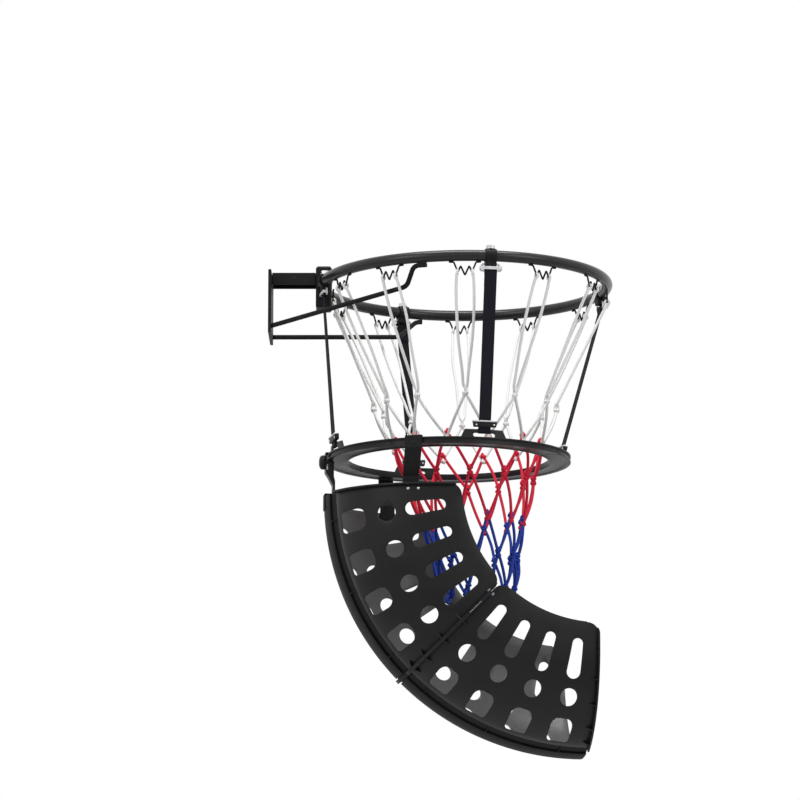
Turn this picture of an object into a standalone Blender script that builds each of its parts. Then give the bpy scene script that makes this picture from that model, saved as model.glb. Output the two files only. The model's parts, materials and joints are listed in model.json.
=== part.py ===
"""Basketball return net: a rim with its cord net, and a chute that swivels on a ring hung under it.

Everything is in metres. The origin is the centre of the mounting plate's back face, +X points from
the plate to the rim and +Z up. The chute turns about the vertical axis through the lower ring's
centre.
"""
import math

import bmesh
import bpy
from mathutils import Matrix, Vector

# Clearances and fine detail
GAP = 0.0003
BORE_SLACK = 0.0003
OVERRUN = 0.002
MERGE = 0.00001

# Rim
RIM_RADIUS = 0.234
TUBE_RADIUS = 0.009
RIM_REACH = 0.3226
RIM_RISE = 0.0347
RIM_SEGMENTS = 60
TUBE_SIDES = 8

# Mounting plate, rear arm and yoke
PLATE_THICK = 0.005
PLATE_WIDTH = 0.110
PLATE_HEIGHT = 0.105
PLATE_HOLE_RADIUS = 0.0045
PLATE_HOLE_SPREAD = 0.0375
PLATE_HOLE_UPPER = 0.034
PLATE_HOLE_LOWER = -0.016
ARM_WIDTH = 0.036
ARM_HEIGHT = 0.020
ARM_WALL = 0.003
YOKE_LENGTH = 0.026
YOKE_WIDTH = 0.048
YOKE_TOP = 0.030
YOKE_BOTTOM = -0.039
YOKE_BACKSET = 0.0015
YOKE_BEVEL = 0.003

# Brace rods: places are measured from the plate and the rim tube
BRACE_RADIUS = 0.004
BRACE_FOOT_SPREAD = 0.045
BRACE_FOOT_DROP = 0.0757
BRACE_ELBOW_INSET = 0.0196
BRACE_ELBOW_ARC = 0.0396
BRACE_ELBOW_DROP = 0.047
BRACE_LOOP_CLEAR = 0.0071
BRACE_REST = 0.0184
BRACE_BEND = 0.012

# Net hooks: W-shaped wires, drawn across the rim from its underside down
HOOK_ANGLES = (3.0, 32.0, 62.0, 91.0, 126.0, 153.0, 180.0, 211.0, 238.0, 269.0, 301.0, 331.0)
YOKE_HOOK = 6
HOOK_WIRE = 0.0016
HOOK_LEG_SPREAD = 0.0167
HOOK_BOTTOM_SPREAD = 0.0118
HOOK_INNER_SPREAD = 0.0068
HOOK_DEPTH = 0.0175
HOOK_INNER_DEPTH = 0.008
HOOK_MIDDLE_DEPTH = 0.0227
HOOK_BEND = 0.0022

# Rim clamps and strap loops
CLAMP_NEAR_ANGLE = -81.0
CLAMP_RIGHT_ANGLE = 15.0
CLAMP_FAR_ANGLE = 116.0
CLAMP_YOKE_CLEAR = 0.0034
CLAMP_WIDTH = 0.018
CLAMP_DEPTH = 0.024
CLAMP_TOP = 0.0105
CLAMP_BOTTOM = -0.018
CLAMP_BEVEL = 0.0015
CLAMP_HEAD_RADIUS = 0.008
CLAMP_HEAD_HEIGHT = 0.0038
LOOP_WIRE = 0.0015
LOOP_WIDTH = 0.035
LOOP_TOP = -0.0135
LOOP_BOTTOM = -0.0245
LOOP_CORNER = 0.004

# Webbing straps
STRAP_WIDTH = 0.020
STRAP_THICK = 0.0012
STRAP_STITCH = 0.025
STRAP_SPREAD = 0.008
STRAP_TAIL = 0.0295
STRAP_INNER_SLACK = 0.0008
STRAP_JOIN_DROP = 0.0012
SLIDER_WIDTH = 0.040
SLIDER_FOOT_WIDTH = 0.036
SLIDER_HEIGHT = 0.0105
SLIDER_THICK = 0.007
SLIDER_SLOT_WIDTH = 0.022
SLIDER_SLOT_THICK = 0.0037
SLIDER_RISE = 0.0215

# Lower ring: heights are measured down or up from its top plane
RING_BACKSET = 0.028
RING_DROP = 0.285
RING_OUTER = 0.200
RING_INNER = 0.165
RING_HEIGHT = 0.0107
RING_WALL = 0.003
RING_FLOOR = 0.0025
RING_LAND_INNER = 0.186
RING_RECESS = 0.003
RING_TOP_RIDGE = 0.0025
RING_BOTTOM_RIDGE = 0.0015
RING_INNER_LIP_DROP = 0.001
RING_JOINT = 0.0006
RING_STEPS = 10
EAR_FIRST_ANGLE = -73.5
EAR_OUTER = 0.1935
EAR_THICK = 0.003
EAR_HEIGHT = 0.0133
EAR_BASE = 0.076
EAR_TOP_LENGTH = 0.063
EAR_ROOT = 0.003
EAR_STEPS = 9
EAR_SLOT_LENGTH = 0.037
EAR_SLOT_BOTTOM = 0.0005
EAR_SLOT_TOP = 0.0078

# Chute: a trough swept a quarter turn about a bend axis; reaches are measured from that axis
CHUTE_YAW = 7.0
SPINE_BACKSET = 0.2035
CHUTE_DROP = 0.070
SPINE_REACH = 0.421
HALF_WIDTH = 0.170
WALL_STRAIGHT = 0.032
CHUTE_WALL = 0.003
CREASE_ANGLE = 22.0
PANEL_JOINT = 0.0009
FLANGE_PROUD = 0.008
CHUTE_CORNER = 0.015
SWEEP = 90.0
SIDE_STEPS = 6
SPINE_STEPS = 4
SWEEP_STEPS = 6

# Slots, round holes and squared holes in the side panels
HOLE_FIRST = 7.8
HOLE_PITCH = 10.0
HOLES_A_SEGMENT = 4
SLOT_EDGE = 0.028
SLOT_TO_ROUND = 0.0145
SLOT_NARROW = 0.017
SLOT_WIDE = 0.022
ROUND_RADIUS = 0.0135
ROUND_TO_SQUARE = 0.018
SQUARE_LENGTH = 0.0325
SQUARE_TO_SPINE = 0.018
SQUARE_WIDTH = 0.035
SQUARE_CORNER = 0.005
SQUARE_ARCH = 0.012

# Seam bolts
SEAM_BOLT_EDGE = 0.0277
SEAM_BOLT_RADIUS = 0.0018
SEAM_HEAD_RADIUS = 0.0034
SEAM_HEAD_HEIGHT = 0.0025

# Side hangers
HANGER_RING_ANGLE = 113.7
HANGER_FACET = 4.5
HANGER_THICK = 0.0024
HANGER_WIDTH = 0.028
HANGER_FOOT_WIDTH = 0.026
HANGER_TAB = 0.0075
HANGER_RING_GAP = 0.0005
HANGER_JOG_TOP = 0.006
HANGER_JOG_GAP = 0.012
HANGER_FOOT = 0.022
HANGER_WALL_GAP = 0.0005

# Rear hanger, its lock knob and its screw
REAR_WIDTH = 0.020
REAR_LIP = 0.0022
REAR_TAB_THICK = 0.002
REAR_SLIT = 0.0025
REAR_BLOCK = 0.009
REAR_BLOCK_HEIGHT = 0.019
REAR_LIP_BRIDGE = 0.004
REAR_SHOULDER = 0.007
REAR_JOG = 0.014
REAR_ARM_THICK = 0.0038
REAR_FOOT = 0.022
KNOB_RADIUS = 0.012
KNOB_LENGTH = 0.0095
KNOB_EDGE = 0.0035
KNOB_SHANK_RADIUS = 0.0019
KNOB_SHANK_CLEAR = 0.0004
KNOB_TIP_CLEAR = 0.001
BOSS_WIDTH = 0.024
BOSS_DEPTH = 0.0127
BOSS_RISE = 0.0045
BOSS_PROUD = 0.001
REAR_SCREW_RADIUS = 0.002
REAR_SCREW_HEAD_RADIUS = 0.004
REAR_SCREW_HEAD_HEIGHT = 0.0024
REAR_SCREW_DEPTH = 0.006
REAR_SCREW_DROP = 0.010

# Net: each row of knots has a radius, a drop below the rim plane and a drift along +X
CORD_RADIUS = 0.00225
KNOT_RADIUS = 0.0044
CORD_OVERLAP = 0.0008
CORD_TURN = 17.0
NET_ROW_RADII = (0.150, 0.122, 0.104, 0.083, 0.068, 0.060)
NET_ROW_DROPS = (0.206, 0.268, 0.323, 0.394, 0.451, 0.504)
NET_ROW_DRIFTS = (0.000, 0.003, 0.007, 0.012, 0.016, 0.020)
NET_BULGE = 0.004

# Places that follow from the sizes above
YOKE_REAR = -RIM_RADIUS - YOKE_LENGTH / 2 + YOKE_BACKSET
YOKE_FRONT = YOKE_REAR + YOKE_LENGTH
TUBE_UNDERSIDE = -TUBE_RADIUS - GAP
HOOK_BOTTOM = TUBE_UNDERSIDE - HOOK_DEPTH
CLAMP_YOKE_ARC = YOKE_WIDTH / 2 + LOOP_WIDTH / 2 + CLAMP_YOKE_CLEAR
CLAMP_ANGLES = (
    CLAMP_NEAR_ANGLE, CLAMP_RIGHT_ANGLE, CLAMP_FAR_ANGLE, 180.0 + math.degrees(CLAMP_YOKE_ARC / RIM_RADIUS))
BRACE_TOUCH_ARC = LOOP_WIDTH / 2 + BRACE_RADIUS + BRACE_LOOP_CLEAR
BRACE_TOUCH_ANGLE = CLAMP_FAR_ANGLE - math.degrees(BRACE_TOUCH_ARC / RIM_RADIUS)
BRACE_END_ANGLE = BRACE_TOUCH_ANGLE - math.degrees(BRACE_REST / RIM_RADIUS)
BRACE_ELBOW_ANGLE = BRACE_TOUCH_ANGLE + math.degrees(BRACE_ELBOW_ARC / RIM_RADIUS)
RING_CENTRE = Vector((-RING_BACKSET, 0, -RING_DROP))
STRAP_LAYER = STRAP_THICK + GAP
BEND_FORWARD = SPINE_REACH - SPINE_BACKSET
WALL_CENTRE = HALF_WIDTH - SPINE_BACKSET
FREE_REACH = SPINE_REACH - HALF_WIDTH - WALL_STRAIGHT
SQUARE_REACH = SPINE_REACH - SQUARE_TO_SPINE - SQUARE_LENGTH
ROUND_REACH = SQUARE_REACH - ROUND_TO_SQUARE - ROUND_RADIUS
SLOT_REACH = FREE_REACH + SLOT_EDGE
SLOT_END = ROUND_REACH - ROUND_RADIUS - SLOT_TO_ROUND
SEAM_BOLT_REACH = FREE_REACH + SEAM_BOLT_EDGE
REAR_ARM_REACH = SPINE_BACKSET - BOSS_DEPTH
SIDE_STEP_ANGLE = (90.0 - CREASE_ANGLE) / SIDE_STEPS
SEAM = SWEEP / 2
REAR_OUTER = RING_OUTER + HANGER_RING_GAP + REAR_LIP
REAR_BLOCK_OUTER = REAR_OUTER - REAR_LIP - REAR_SLIT
REAR_BLOCK_TOP = -RING_HEIGHT - HANGER_RING_GAP
KNOB_HEIGHT = -RING_HEIGHT - KNOB_SHANK_CLEAR - KNOB_SHANK_RADIUS

parts = None
cutters = None


def start_scene():
    """Empty the scene and make the two collections."""
    global parts, cutters
    for old in list(bpy.data.objects):
        bpy.data.objects.remove(old, do_unlink=True)
    parts = bpy.data.collections.new("basketball_return_net")
    cutters = bpy.data.collections.new("cutters")
    bpy.context.scene.collection.children.link(parts)
    bpy.context.scene.collection.children.link(cutters)


def finish(name, colour, roughness, metallic):
    """A Principled material, made once for each finish."""
    found = bpy.data.materials.get(name)
    if found:
        return found
    made = bpy.data.materials.new(name)
    made.use_nodes = True
    shader = made.node_tree.nodes["Principled BSDF"]
    shader.inputs["Base Color"].default_value = (*colour, 1)
    shader.inputs["Roughness"].default_value = roughness
    shader.inputs["Metallic"].default_value = metallic
    return made


def black_steel():
    return finish("black_steel", (0.012, 0.012, 0.013), 0.35, 0.0)


def silver_steel():
    return finish("silver_steel", (0.62, 0.62, 0.63), 0.28, 1.0)


def black_plastic():
    return finish("black_plastic", (0.013, 0.013, 0.014), 0.42, 0.0)


def black_webbing():
    return finish("black_webbing", (0.010, 0.010, 0.011), 0.85, 0.0)


def empty(name, location, yaw=0.0, parent=None):
    """A guide that carries the pieces placed from it."""
    guide = bpy.data.objects.new(name, None)
    parts.objects.link(guide)
    guide.location = location
    guide.rotation_euler = (0, 0, math.radians(yaw))
    guide.parent = parent
    return guide


def place(name, mesh, parent, material=None):
    """Put a mesh in the scene as a part, or as a cutter if it has no material."""
    made = bpy.data.objects.new(name, mesh)
    made.parent = parent
    if material:
        parts.objects.link(made)
        mesh.materials.clear()
        mesh.materials.append(material)
    else:
        cutters.objects.link(made)
        made.hide_render = True
        made.display_type = "WIRE"
    return made


def block_mesh(low, high):
    """A box between two corners."""
    low = Vector(low)
    high = Vector(high)
    span = high - low
    mesh = bpy.data.meshes.new("block")
    shape = bmesh.new()
    bmesh.ops.create_cube(shape, size=1.0)
    bmesh.ops.scale(shape, vec=span, verts=shape.verts)
    bmesh.ops.translate(shape, vec=(low + high) / 2, verts=shape.verts)
    shape.to_mesh(mesh)
    shape.free()
    return mesh


def rod_mesh(radius, length, sides=16):
    """A cylinder along Z, centred on the origin."""
    mesh = bpy.data.meshes.new("rod")
    shape = bmesh.new()
    bmesh.ops.create_cone(
        shape, cap_ends=True, segments=sides, radius1=radius, radius2=radius, depth=length)
    shape.to_mesh(mesh)
    shape.free()
    return mesh


def curve_mesh(curve):
    """Turn a curve into a mesh with its caps welded."""
    holder = bpy.data.objects.new("curve", curve)
    cutters.objects.link(holder)
    bpy.context.view_layer.update()
    graph = bpy.context.evaluated_depsgraph_get()
    mesh = bpy.data.meshes.new_from_object(holder.evaluated_get(graph))
    bpy.data.objects.remove(holder)
    bpy.data.curves.remove(curve)
    shape = bmesh.new()
    shape.from_mesh(mesh)
    bmesh.ops.remove_doubles(shape, verts=shape.verts, dist=MERGE)
    bmesh.ops.recalc_face_normals(shape, faces=shape.faces)
    shape.to_mesh(mesh)
    shape.free()
    return mesh


def wire_mesh(runs, radius, closed=False, resolution=1):
    """Round wires, one along each run of points, each turned a little so that no two meet edge to edge."""
    curve = bpy.data.curves.new("wire", "CURVE")
    curve.dimensions = "3D"
    curve.bevel_depth = radius
    curve.bevel_resolution = resolution
    curve.use_fill_caps = not closed
    for index, run in enumerate(runs):
        spline = curve.splines.new("POLY")
        spline.points.add(len(run) - 1)
        for point, where in zip(spline.points, run):
            point.co = (*where, 1)
            point.tilt = math.radians(CORD_TURN * index)
        spline.use_cyclic_u = closed
    return curve_mesh(curve)


def flat_mesh(outlines, half_thickness):
    """Flat outlines in the XY plane, extruded both ways along Z."""
    curve = bpy.data.curves.new("flat", "CURVE")
    curve.dimensions = "2D"
    curve.fill_mode = "BOTH"
    curve.extrude = half_thickness
    for outline in outlines:
        spline = curve.splines.new("POLY")
        spline.points.add(len(outline) - 1)
        for point, where in zip(spline.points, outline):
            point.co = (where[0], where[1], 0, 1)
        spline.use_cyclic_u = True
    return curve_mesh(curve)


def sheet_mesh(rows):
    """A grid bent onto rows of points, its faces towards column direction x row direction."""
    count = len(rows)
    width = len(rows[0])
    mesh = bpy.data.meshes.new("sheet")
    shape = bmesh.new()
    bmesh.ops.create_grid(shape, x_segments=width - 1, y_segments=count - 1, size=1.0)
    for corner in shape.verts:
        column = round((corner.co.x + 1) / 2 * (width - 1))
        row = round((corner.co.y + 1) / 2 * (count - 1))
        corner.co = rows[row][column]
    shape.to_mesh(mesh)
    shape.free()
    return mesh


def thicken(piece, thickness, offset):
    """Give a sheet its thickness: -1 behind its faces, 0 on both sides."""
    solid = piece.modifiers.new("thickness", "SOLIDIFY")
    solid.thickness = thickness
    solid.offset = offset
    solid.use_even_offset = True
    solid.use_quality_normals = True


def soften(piece, width, segments=1):
    """Round the sharp edges."""
    bevel = piece.modifiers.new("edges", "BEVEL")
    bevel.width = width
    bevel.segments = segments
    bevel.limit_method = "ANGLE"
    bevel.angle_limit = math.radians(40)


def cut(piece, cutter):
    """Take a cutter out of a piece."""
    step = piece.modifiers.new("cut", "BOOLEAN")
    step.operation = "DIFFERENCE"
    step.solver = "EXACT"
    step.object = cutter


def join(piece, other, itself=False):
    """Unite a piece with another shape, which then counts as a helper."""
    step = piece.modifiers.new("join", "BOOLEAN")
    step.operation = "UNION"
    step.solver = "EXACT"
    step.use_self = itself
    step.object = other


def turned(name, profile, parent, material, steps=20):
    """A body turned about Z from a profile of (radius, height), listed from top to bottom."""
    mesh = bpy.data.meshes.new(name)
    shape = bmesh.new()
    corners = [shape.verts.new((radius, 0, height)) for radius, height in profile]
    for upper, lower in zip(corners, corners[1:]):
        shape.edges.new((upper, lower))
    shape.to_mesh(mesh)
    shape.free()
    piece = place(name, mesh, parent, material)
    screw = piece.modifiers.new("turn", "SCREW")
    screw.axis = "Z"
    screw.angle = 2 * math.pi
    screw.steps = steps
    screw.render_steps = steps
    screw.use_merge_vertices = True
    screw.merge_threshold = MERGE
    screw.use_smooth_shade = False
    return piece


def around(radius, angle, height=0.0):
    """A point on a circle about Z."""
    turn = math.radians(angle)
    return Vector((radius * math.cos(turn), radius * math.sin(turn), height))


def rounded(points, bend, steps=2, closed=False):
    """Replace each inner corner of a run of points by an arc-like bend of the given length."""
    points = [Vector(point) for point in points]
    count = len(points)
    result = []
    for index, corner in enumerate(points):
        if not closed and index in (0, count - 1):
            result.append(corner)
            continue
        before = points[index - 1]
        after = points[(index + 1) % count]
        start = corner + (before - corner).normalized() * bend
        end = corner + (after - corner).normalized() * bend
        for step in range(steps + 1):
            share = step / steps
            result.append(start * (1 - share) ** 2 + corner * 2 * share * (1 - share) + end * share ** 2)
    return result


def shade(piece):
    """Smooth shading with sharp edges kept."""
    piece.data.shade_smooth()
    piece.data.set_sharp_from_angle(angle=math.radians(35))


# Mounting plate, arm and yoke


def make_plate():
    plate = place(
        "mounting_plate",
        block_mesh((0, -PLATE_WIDTH / 2, -PLATE_HEIGHT / 2),
                   (PLATE_THICK, PLATE_WIDTH / 2, PLATE_HEIGHT / 2)),
        None, black_steel())
    for side in (-1, 1):
        for height in (PLATE_HOLE_UPPER, PLATE_HOLE_LOWER):
            drill = place("plate_drill", rod_mesh(PLATE_HOLE_RADIUS, 4 * PLATE_THICK, 32), None)
            drill.rotation_euler = (0, math.radians(90), 0)
            drill.location = (0, side * PLATE_HOLE_SPREAD, height)
            cut(plate, drill)


def make_arm(rim_axis):
    """An inverted channel between the plate and the yoke."""
    start = PLATE_THICK + GAP - RIM_REACH
    end = YOKE_REAR - GAP
    half = ARM_WIDTH / 2
    section = ((-half, 0), (-half, ARM_HEIGHT), (half, ARM_HEIGHT), (half, 0))
    rows = [[Vector((along, across, height)) for across, height in section] for along in (end, start)]
    arm = place("rear_arm", sheet_mesh(rows), rim_axis, black_steel())
    thicken(arm, ARM_WALL, -1)


def make_yoke(rim_axis, tunnel):
    half = YOKE_WIDTH / 2
    yoke = place(
        "rim_yoke",
        block_mesh((YOKE_REAR, -half, YOKE_BOTTOM), (YOKE_FRONT, half, YOKE_TOP)),
        rim_axis, black_steel())
    soften(yoke, YOKE_BEVEL)
    cut(yoke, tunnel)


def brace_points(side):
    """From the plate, out to the elbow, then up and along under the rim tube."""
    under = TUBE_UNDERSIDE - BRACE_RADIUS
    return (
        Vector((PLATE_THICK / 2 - RIM_REACH, side * BRACE_FOOT_SPREAD, -BRACE_FOOT_DROP)),
        around(RIM_RADIUS - BRACE_ELBOW_INSET, side * BRACE_ELBOW_ANGLE, -BRACE_ELBOW_DROP),
        around(RIM_RADIUS, side * BRACE_TOUCH_ANGLE, under),
        around(RIM_RADIUS, side * BRACE_END_ANGLE, under),
    )


def make_braces(rim_axis):
    plate_room = place(
        "plate_room",
        block_mesh((-PLATE_THICK, -PLATE_WIDTH, -PLATE_HEIGHT),
                   (PLATE_THICK + GAP, PLATE_WIDTH, PLATE_HEIGHT)),
        None)
    for name, side in (("brace_near", -1), ("brace_far", 1)):
        points = brace_points(side)
        run = [points[0]]
        run += rounded(points[:3], BRACE_BEND)[1:-1]
        run += rounded(points[1:], BRACE_BEND / 2)[1:-1]
        run.append(points[-1])
        brace = place(name, wire_mesh([run], BRACE_RADIUS, resolution=1), rim_axis, black_steel())
        shade(brace)
        cut(brace, plate_room)


# Rim tube, hooks, clamps


def torus_mesh(tube_radius):
    """The rim's torus, with the same facets whatever the tube radius."""
    bpy.ops.mesh.primitive_torus_add(
        major_radius=RIM_RADIUS, minor_radius=tube_radius,
        major_segments=RIM_SEGMENTS, minor_segments=TUBE_SIDES)
    made = bpy.context.object
    mesh = made.data
    bpy.data.objects.remove(made)
    return mesh


def make_rim(rim_axis):
    rim = place("rim_tube", torus_mesh(TUBE_RADIUS), rim_axis, black_steel())
    shade(rim)
    return place("rim_tunnel", torus_mesh(TUBE_RADIUS + GAP), rim_axis)


def hook_radius(index):
    """The hook at the yoke hangs on the yoke's inner face."""
    if index == YOKE_HOOK:
        return -YOKE_FRONT - GAP - HOOK_WIRE
    return RIM_RADIUS


def make_hooks(rim_axis):
    slant = (HOOK_LEG_SPREAD - HOOK_BOTTOM_SPREAD) / HOOK_DEPTH
    half = (
        (HOOK_LEG_SPREAD, -HOOK_WIRE * slant),
        (HOOK_BOTTOM_SPREAD, HOOK_BEND - HOOK_DEPTH),
        (HOOK_BOTTOM_SPREAD - HOOK_BEND, -HOOK_DEPTH),
        (HOOK_INNER_SPREAD, -HOOK_INNER_DEPTH),
        (0, -HOOK_MIDDLE_DEPTH),
    )
    outline = [(-across, down) for across, down in half] + list(half[-2::-1])
    mesh = wire_mesh([[(0, across, TUBE_UNDERSIDE + down) for across, down in outline]], HOOK_WIRE)
    for index, angle in enumerate(HOOK_ANGLES):
        hook = place(f"net_hook_{index + 1:02d}", mesh, rim_axis, black_steel())
        hook.location = around(hook_radius(index), angle)
        hook.rotation_euler = (0, 0, math.radians(angle))
        shade(hook)


def loop_points():
    """A rounded rectangle across the clamp."""
    half = LOOP_WIDTH / 2
    corners = ((0, -half, LOOP_TOP), (0, half, LOOP_TOP), (0, half, LOOP_BOTTOM), (0, -half, LOOP_BOTTOM))
    return rounded(corners, LOOP_CORNER, closed=True)


def make_clamps(rim_axis, tunnel):
    body = block_mesh(
        (-CLAMP_DEPTH / 2, -CLAMP_WIDTH / 2, CLAMP_BOTTOM), (CLAMP_DEPTH / 2, CLAMP_WIDTH / 2, CLAMP_TOP))
    head = rod_mesh(CLAMP_HEAD_RADIUS, CLAMP_HEAD_HEIGHT, 6)
    loop = wire_mesh([loop_points()], LOOP_WIRE, closed=True)
    for index, angle in enumerate(CLAMP_ANGLES):
        mark = index + 1
        seat = empty(f"clamp_seat_{mark}", around(RIM_RADIUS, angle), angle, rim_axis)
        clamp = place(f"rim_clamp_{mark}", body, seat, black_steel())
        soften(clamp, CLAMP_BEVEL)
        cut(clamp, tunnel)
        drill = place(f"clamp_drill_{mark}", rod_mesh(LOOP_WIRE + BORE_SLACK, 2 * CLAMP_WIDTH, 10), seat)
        drill.rotation_euler = (math.radians(90), 0, 0)
        drill.location = (0, 0, LOOP_TOP)
        cut(clamp, drill)
        bolt = place(f"clamp_bolt_{mark}", head, seat, silver_steel())
        bolt.location = (0, 0, CLAMP_TOP + GAP + CLAMP_HEAD_HEIGHT / 2)
        ring = place(f"strap_loop_{mark}", loop, seat, silver_steel())
        shade(ring)


# Lower ring


def ring_profile():
    """The ring's section as (radius, height): a channel with a land and two ridges outside it."""
    inner = RING_INNER + RING_WALL
    floor = -RING_HEIGHT + RING_FLOOR
    recess = RING_OUTER - RING_RECESS
    return (
        (RING_INNER, -RING_HEIGHT),
        (RING_OUTER, -RING_HEIGHT),
        (RING_OUTER, -RING_HEIGHT + RING_BOTTOM_RIDGE),
        (recess, -RING_HEIGHT + RING_BOTTOM_RIDGE),
        (recess, -RING_TOP_RIDGE),
        (RING_OUTER, -RING_TOP_RIDGE),
        (RING_OUTER, 0),
        (RING_LAND_INNER, 0),
        (RING_LAND_INNER, floor),
        (inner, floor),
        (inner, -RING_INNER_LIP_DROP),
        (RING_INNER, -RING_INNER_LIP_DROP),
    )


def quadrant_mesh():
    """A quarter of the ring, centred on +X."""
    margin = RING_JOINT / 2 / RING_OUTER
    start = -math.pi / 4 + margin
    mesh = bpy.data.meshes.new("quadrant")
    shape = bmesh.new()
    corners = [shape.verts.new((radius, 0, height)) for radius, height in ring_profile()]
    face = shape.faces.new(corners)
    bmesh.ops.rotate(shape, verts=shape.verts, cent=(0, 0, 0), matrix=Matrix.Rotation(start, 3, "Z"))
    bmesh.ops.spin(
        shape, geom=[*shape.verts, *shape.edges, face], axis=(0, 0, 1), cent=(0, 0, 0),
        dvec=(0, 0, 0), angle=-2 * start, steps=RING_STEPS, use_merge=False, use_duplicate=False)
    bmesh.ops.recalc_face_normals(shape, faces=shape.faces)
    shape.to_mesh(mesh)
    shape.free()
    return mesh


def ear_mesh():
    """A curved plate standing on the ring, longer at its base than at its top."""
    rows = []
    base = EAR_BASE / EAR_OUTER / 2
    top = EAR_TOP_LENGTH / EAR_OUTER / 2
    root = base + (base - top) * EAR_ROOT / EAR_HEIGHT
    for height, half in ((-EAR_ROOT, root), (EAR_HEIGHT, top)):
        row = []
        for step in range(EAR_STEPS + 1):
            angle = math.degrees(half) * (2 * step / EAR_STEPS - 1)
            row.append(around(EAR_OUTER, angle, height))
        rows.append(row)
    return sheet_mesh(rows)


def make_ring(ring_axis):
    quadrant = quadrant_mesh()
    plate = ear_mesh()
    middle = EAR_OUTER - EAR_THICK / 2
    for index in range(4):
        mark = index + 1
        seat = empty(f"ear_seat_{mark}", (0, 0, 0), EAR_FIRST_ANGLE + 90 * index, ring_axis)
        segment = place(f"ring_segment_{mark}", quadrant, seat, black_plastic())
        ear = place(f"ear_{mark}", plate, seat)
        thicken(ear, EAR_THICK, -1)
        join(segment, ear)
        slot = place(
            f"ear_slot_{mark}",
            block_mesh((middle - 2 * EAR_THICK, -EAR_SLOT_LENGTH / 2, EAR_SLOT_BOTTOM),
                       (middle + 2 * EAR_THICK, EAR_SLOT_LENGTH / 2, EAR_SLOT_TOP)),
            seat)
        cut(segment, slot)


# Straps and sliders


def strap_frame(index):
    """Where a strap hangs and how it lies, in the rim's frame.

    Gives the loop bar's centre, the point where the strap meets the ear, the strap's direction
    down, and at each end the direction across its width and the one out of its face. At the top
    the width lies along the bar.
    """
    clamp = CLAMP_ANGLES[index]
    ear = EAR_FIRST_ANGLE + 90 * index
    bar = around(RIM_RADIUS, clamp, LOOP_BOTTOM)
    outside = EAR_OUTER + GAP + STRAP_THICK / 2
    foot = RING_CENTRE + around(outside, ear, EAR_HEIGHT)
    swing = LOOP_WIRE + GAP + STRAP_THICK / 2
    out = around(1, clamp)
    down = (foot - bar - out * swing).normalized()
    along_bar = around(1, clamp + 90)
    top = (along_bar, down.cross(along_bar).normalized())
    across = around(1, ear + 90)
    across = (across - down * across.dot(down)).normalized()
    base = (across, down.cross(across).normalized())
    return bar, foot, swing, down, (top, base)


def strap_rows(index):
    """Centres and width directions along a strap, from its stitched end to its free tail."""
    bar, foot, swing, down, (top, base) = strap_frame(index)
    across, out = top
    plumb = out.cross(across)
    start = bar + out * swing
    ear = EAR_FIRST_ANGLE + 90 * index
    rows = [
        (start + down * STRAP_STITCH - out * STRAP_LAYER, across),
        (start + down * STRAP_SPREAD - out * STRAP_LAYER, across),
    ]
    for turn in (-90, -54, -18, 18, 54, 90):
        angle = math.radians(turn)
        rows.append((bar + (out * math.sin(angle) + plumb * math.cos(angle)) * swing, across))
    rows.append((start + down * STRAP_STITCH, across))
    across, out = base
    rise = -down / -down.z
    level = Vector((-math.sin(math.radians(ear)), math.cos(math.radians(ear)), 0))
    rows.append((foot + rise * (STRAP_TAIL - EAR_HEIGHT), across))
    join_height = SLIDER_RISE - SLIDER_HEIGHT / 2 - STRAP_JOIN_DROP
    rows.append((foot + rise * (join_height - EAR_HEIGHT), across))
    half = STRAP_THICK / 2
    outside = EAR_OUTER + GAP + half
    inside = EAR_OUTER - EAR_THICK - STRAP_INNER_SLACK - half
    under = EAR_SLOT_TOP - GAP - half
    for radius, height in (
            (outside, EAR_HEIGHT), (outside, under), (inside, under), (inside, EAR_HEIGHT + half)):
        rows.append((RING_CENTRE + around(radius, ear, height), level))
    for height in (join_height, STRAP_TAIL):
        rows.append((foot + rise * (height - EAR_HEIGHT) - out * STRAP_LAYER, across))
    return rows


def make_straps(rim_axis):
    half = STRAP_WIDTH / 2
    for index in range(4):
        mark = index + 1
        rows = [(centre - across * half, centre + across * half) for centre, across in strap_rows(index)]
        strap = place(f"strap_{mark}", sheet_mesh(rows), rim_axis, black_webbing())
        thicken(strap, STRAP_THICK, 0)


def make_sliders(rim_axis):
    foot_half = SLIDER_FOOT_WIDTH / 2
    top_half = SLIDER_WIDTH / 2
    tall = SLIDER_HEIGHT / 2
    outline = ((-foot_half, -tall), (foot_half, -tall), (top_half, tall), (-top_half, tall))
    body = flat_mesh([outline], SLIDER_THICK / 2)
    opening = block_mesh(
        (-SLIDER_SLOT_WIDTH / 2, -SLIDER_HEIGHT, -SLIDER_SLOT_THICK / 2),
        (SLIDER_SLOT_WIDTH / 2, SLIDER_HEIGHT, SLIDER_SLOT_THICK / 2))
    for index in range(4):
        mark = index + 1
        _, foot, _, down, (_, (across, out)) = strap_frame(index)
        centre = foot - down / -down.z * (SLIDER_RISE - EAR_HEIGHT) - out * STRAP_LAYER / 2
        face = across.cross(-down)
        seat = empty(f"slider_seat_{mark}", (0, 0, 0), parent=rim_axis)
        axes = Matrix((across, -down, face)).transposed().to_4x4()
        seat.matrix_local = Matrix.Translation(centre) @ axes
        slider = place(f"strap_slider_{mark}", body, seat, black_plastic())
        cut(slider, place(f"slider_opening_{mark}", opening, seat))


# Chute


def swept(reach, lateral, angle, shift=0.0):
    """A point of the trough at a reach from the bend axis, on a plane shifted along the path."""
    turn = math.radians(angle) + math.asin(shift / reach)
    return Vector((
        BEND_FORWARD - reach * math.cos(turn), lateral, -CHUTE_DROP - reach * math.sin(turn)))


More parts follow.
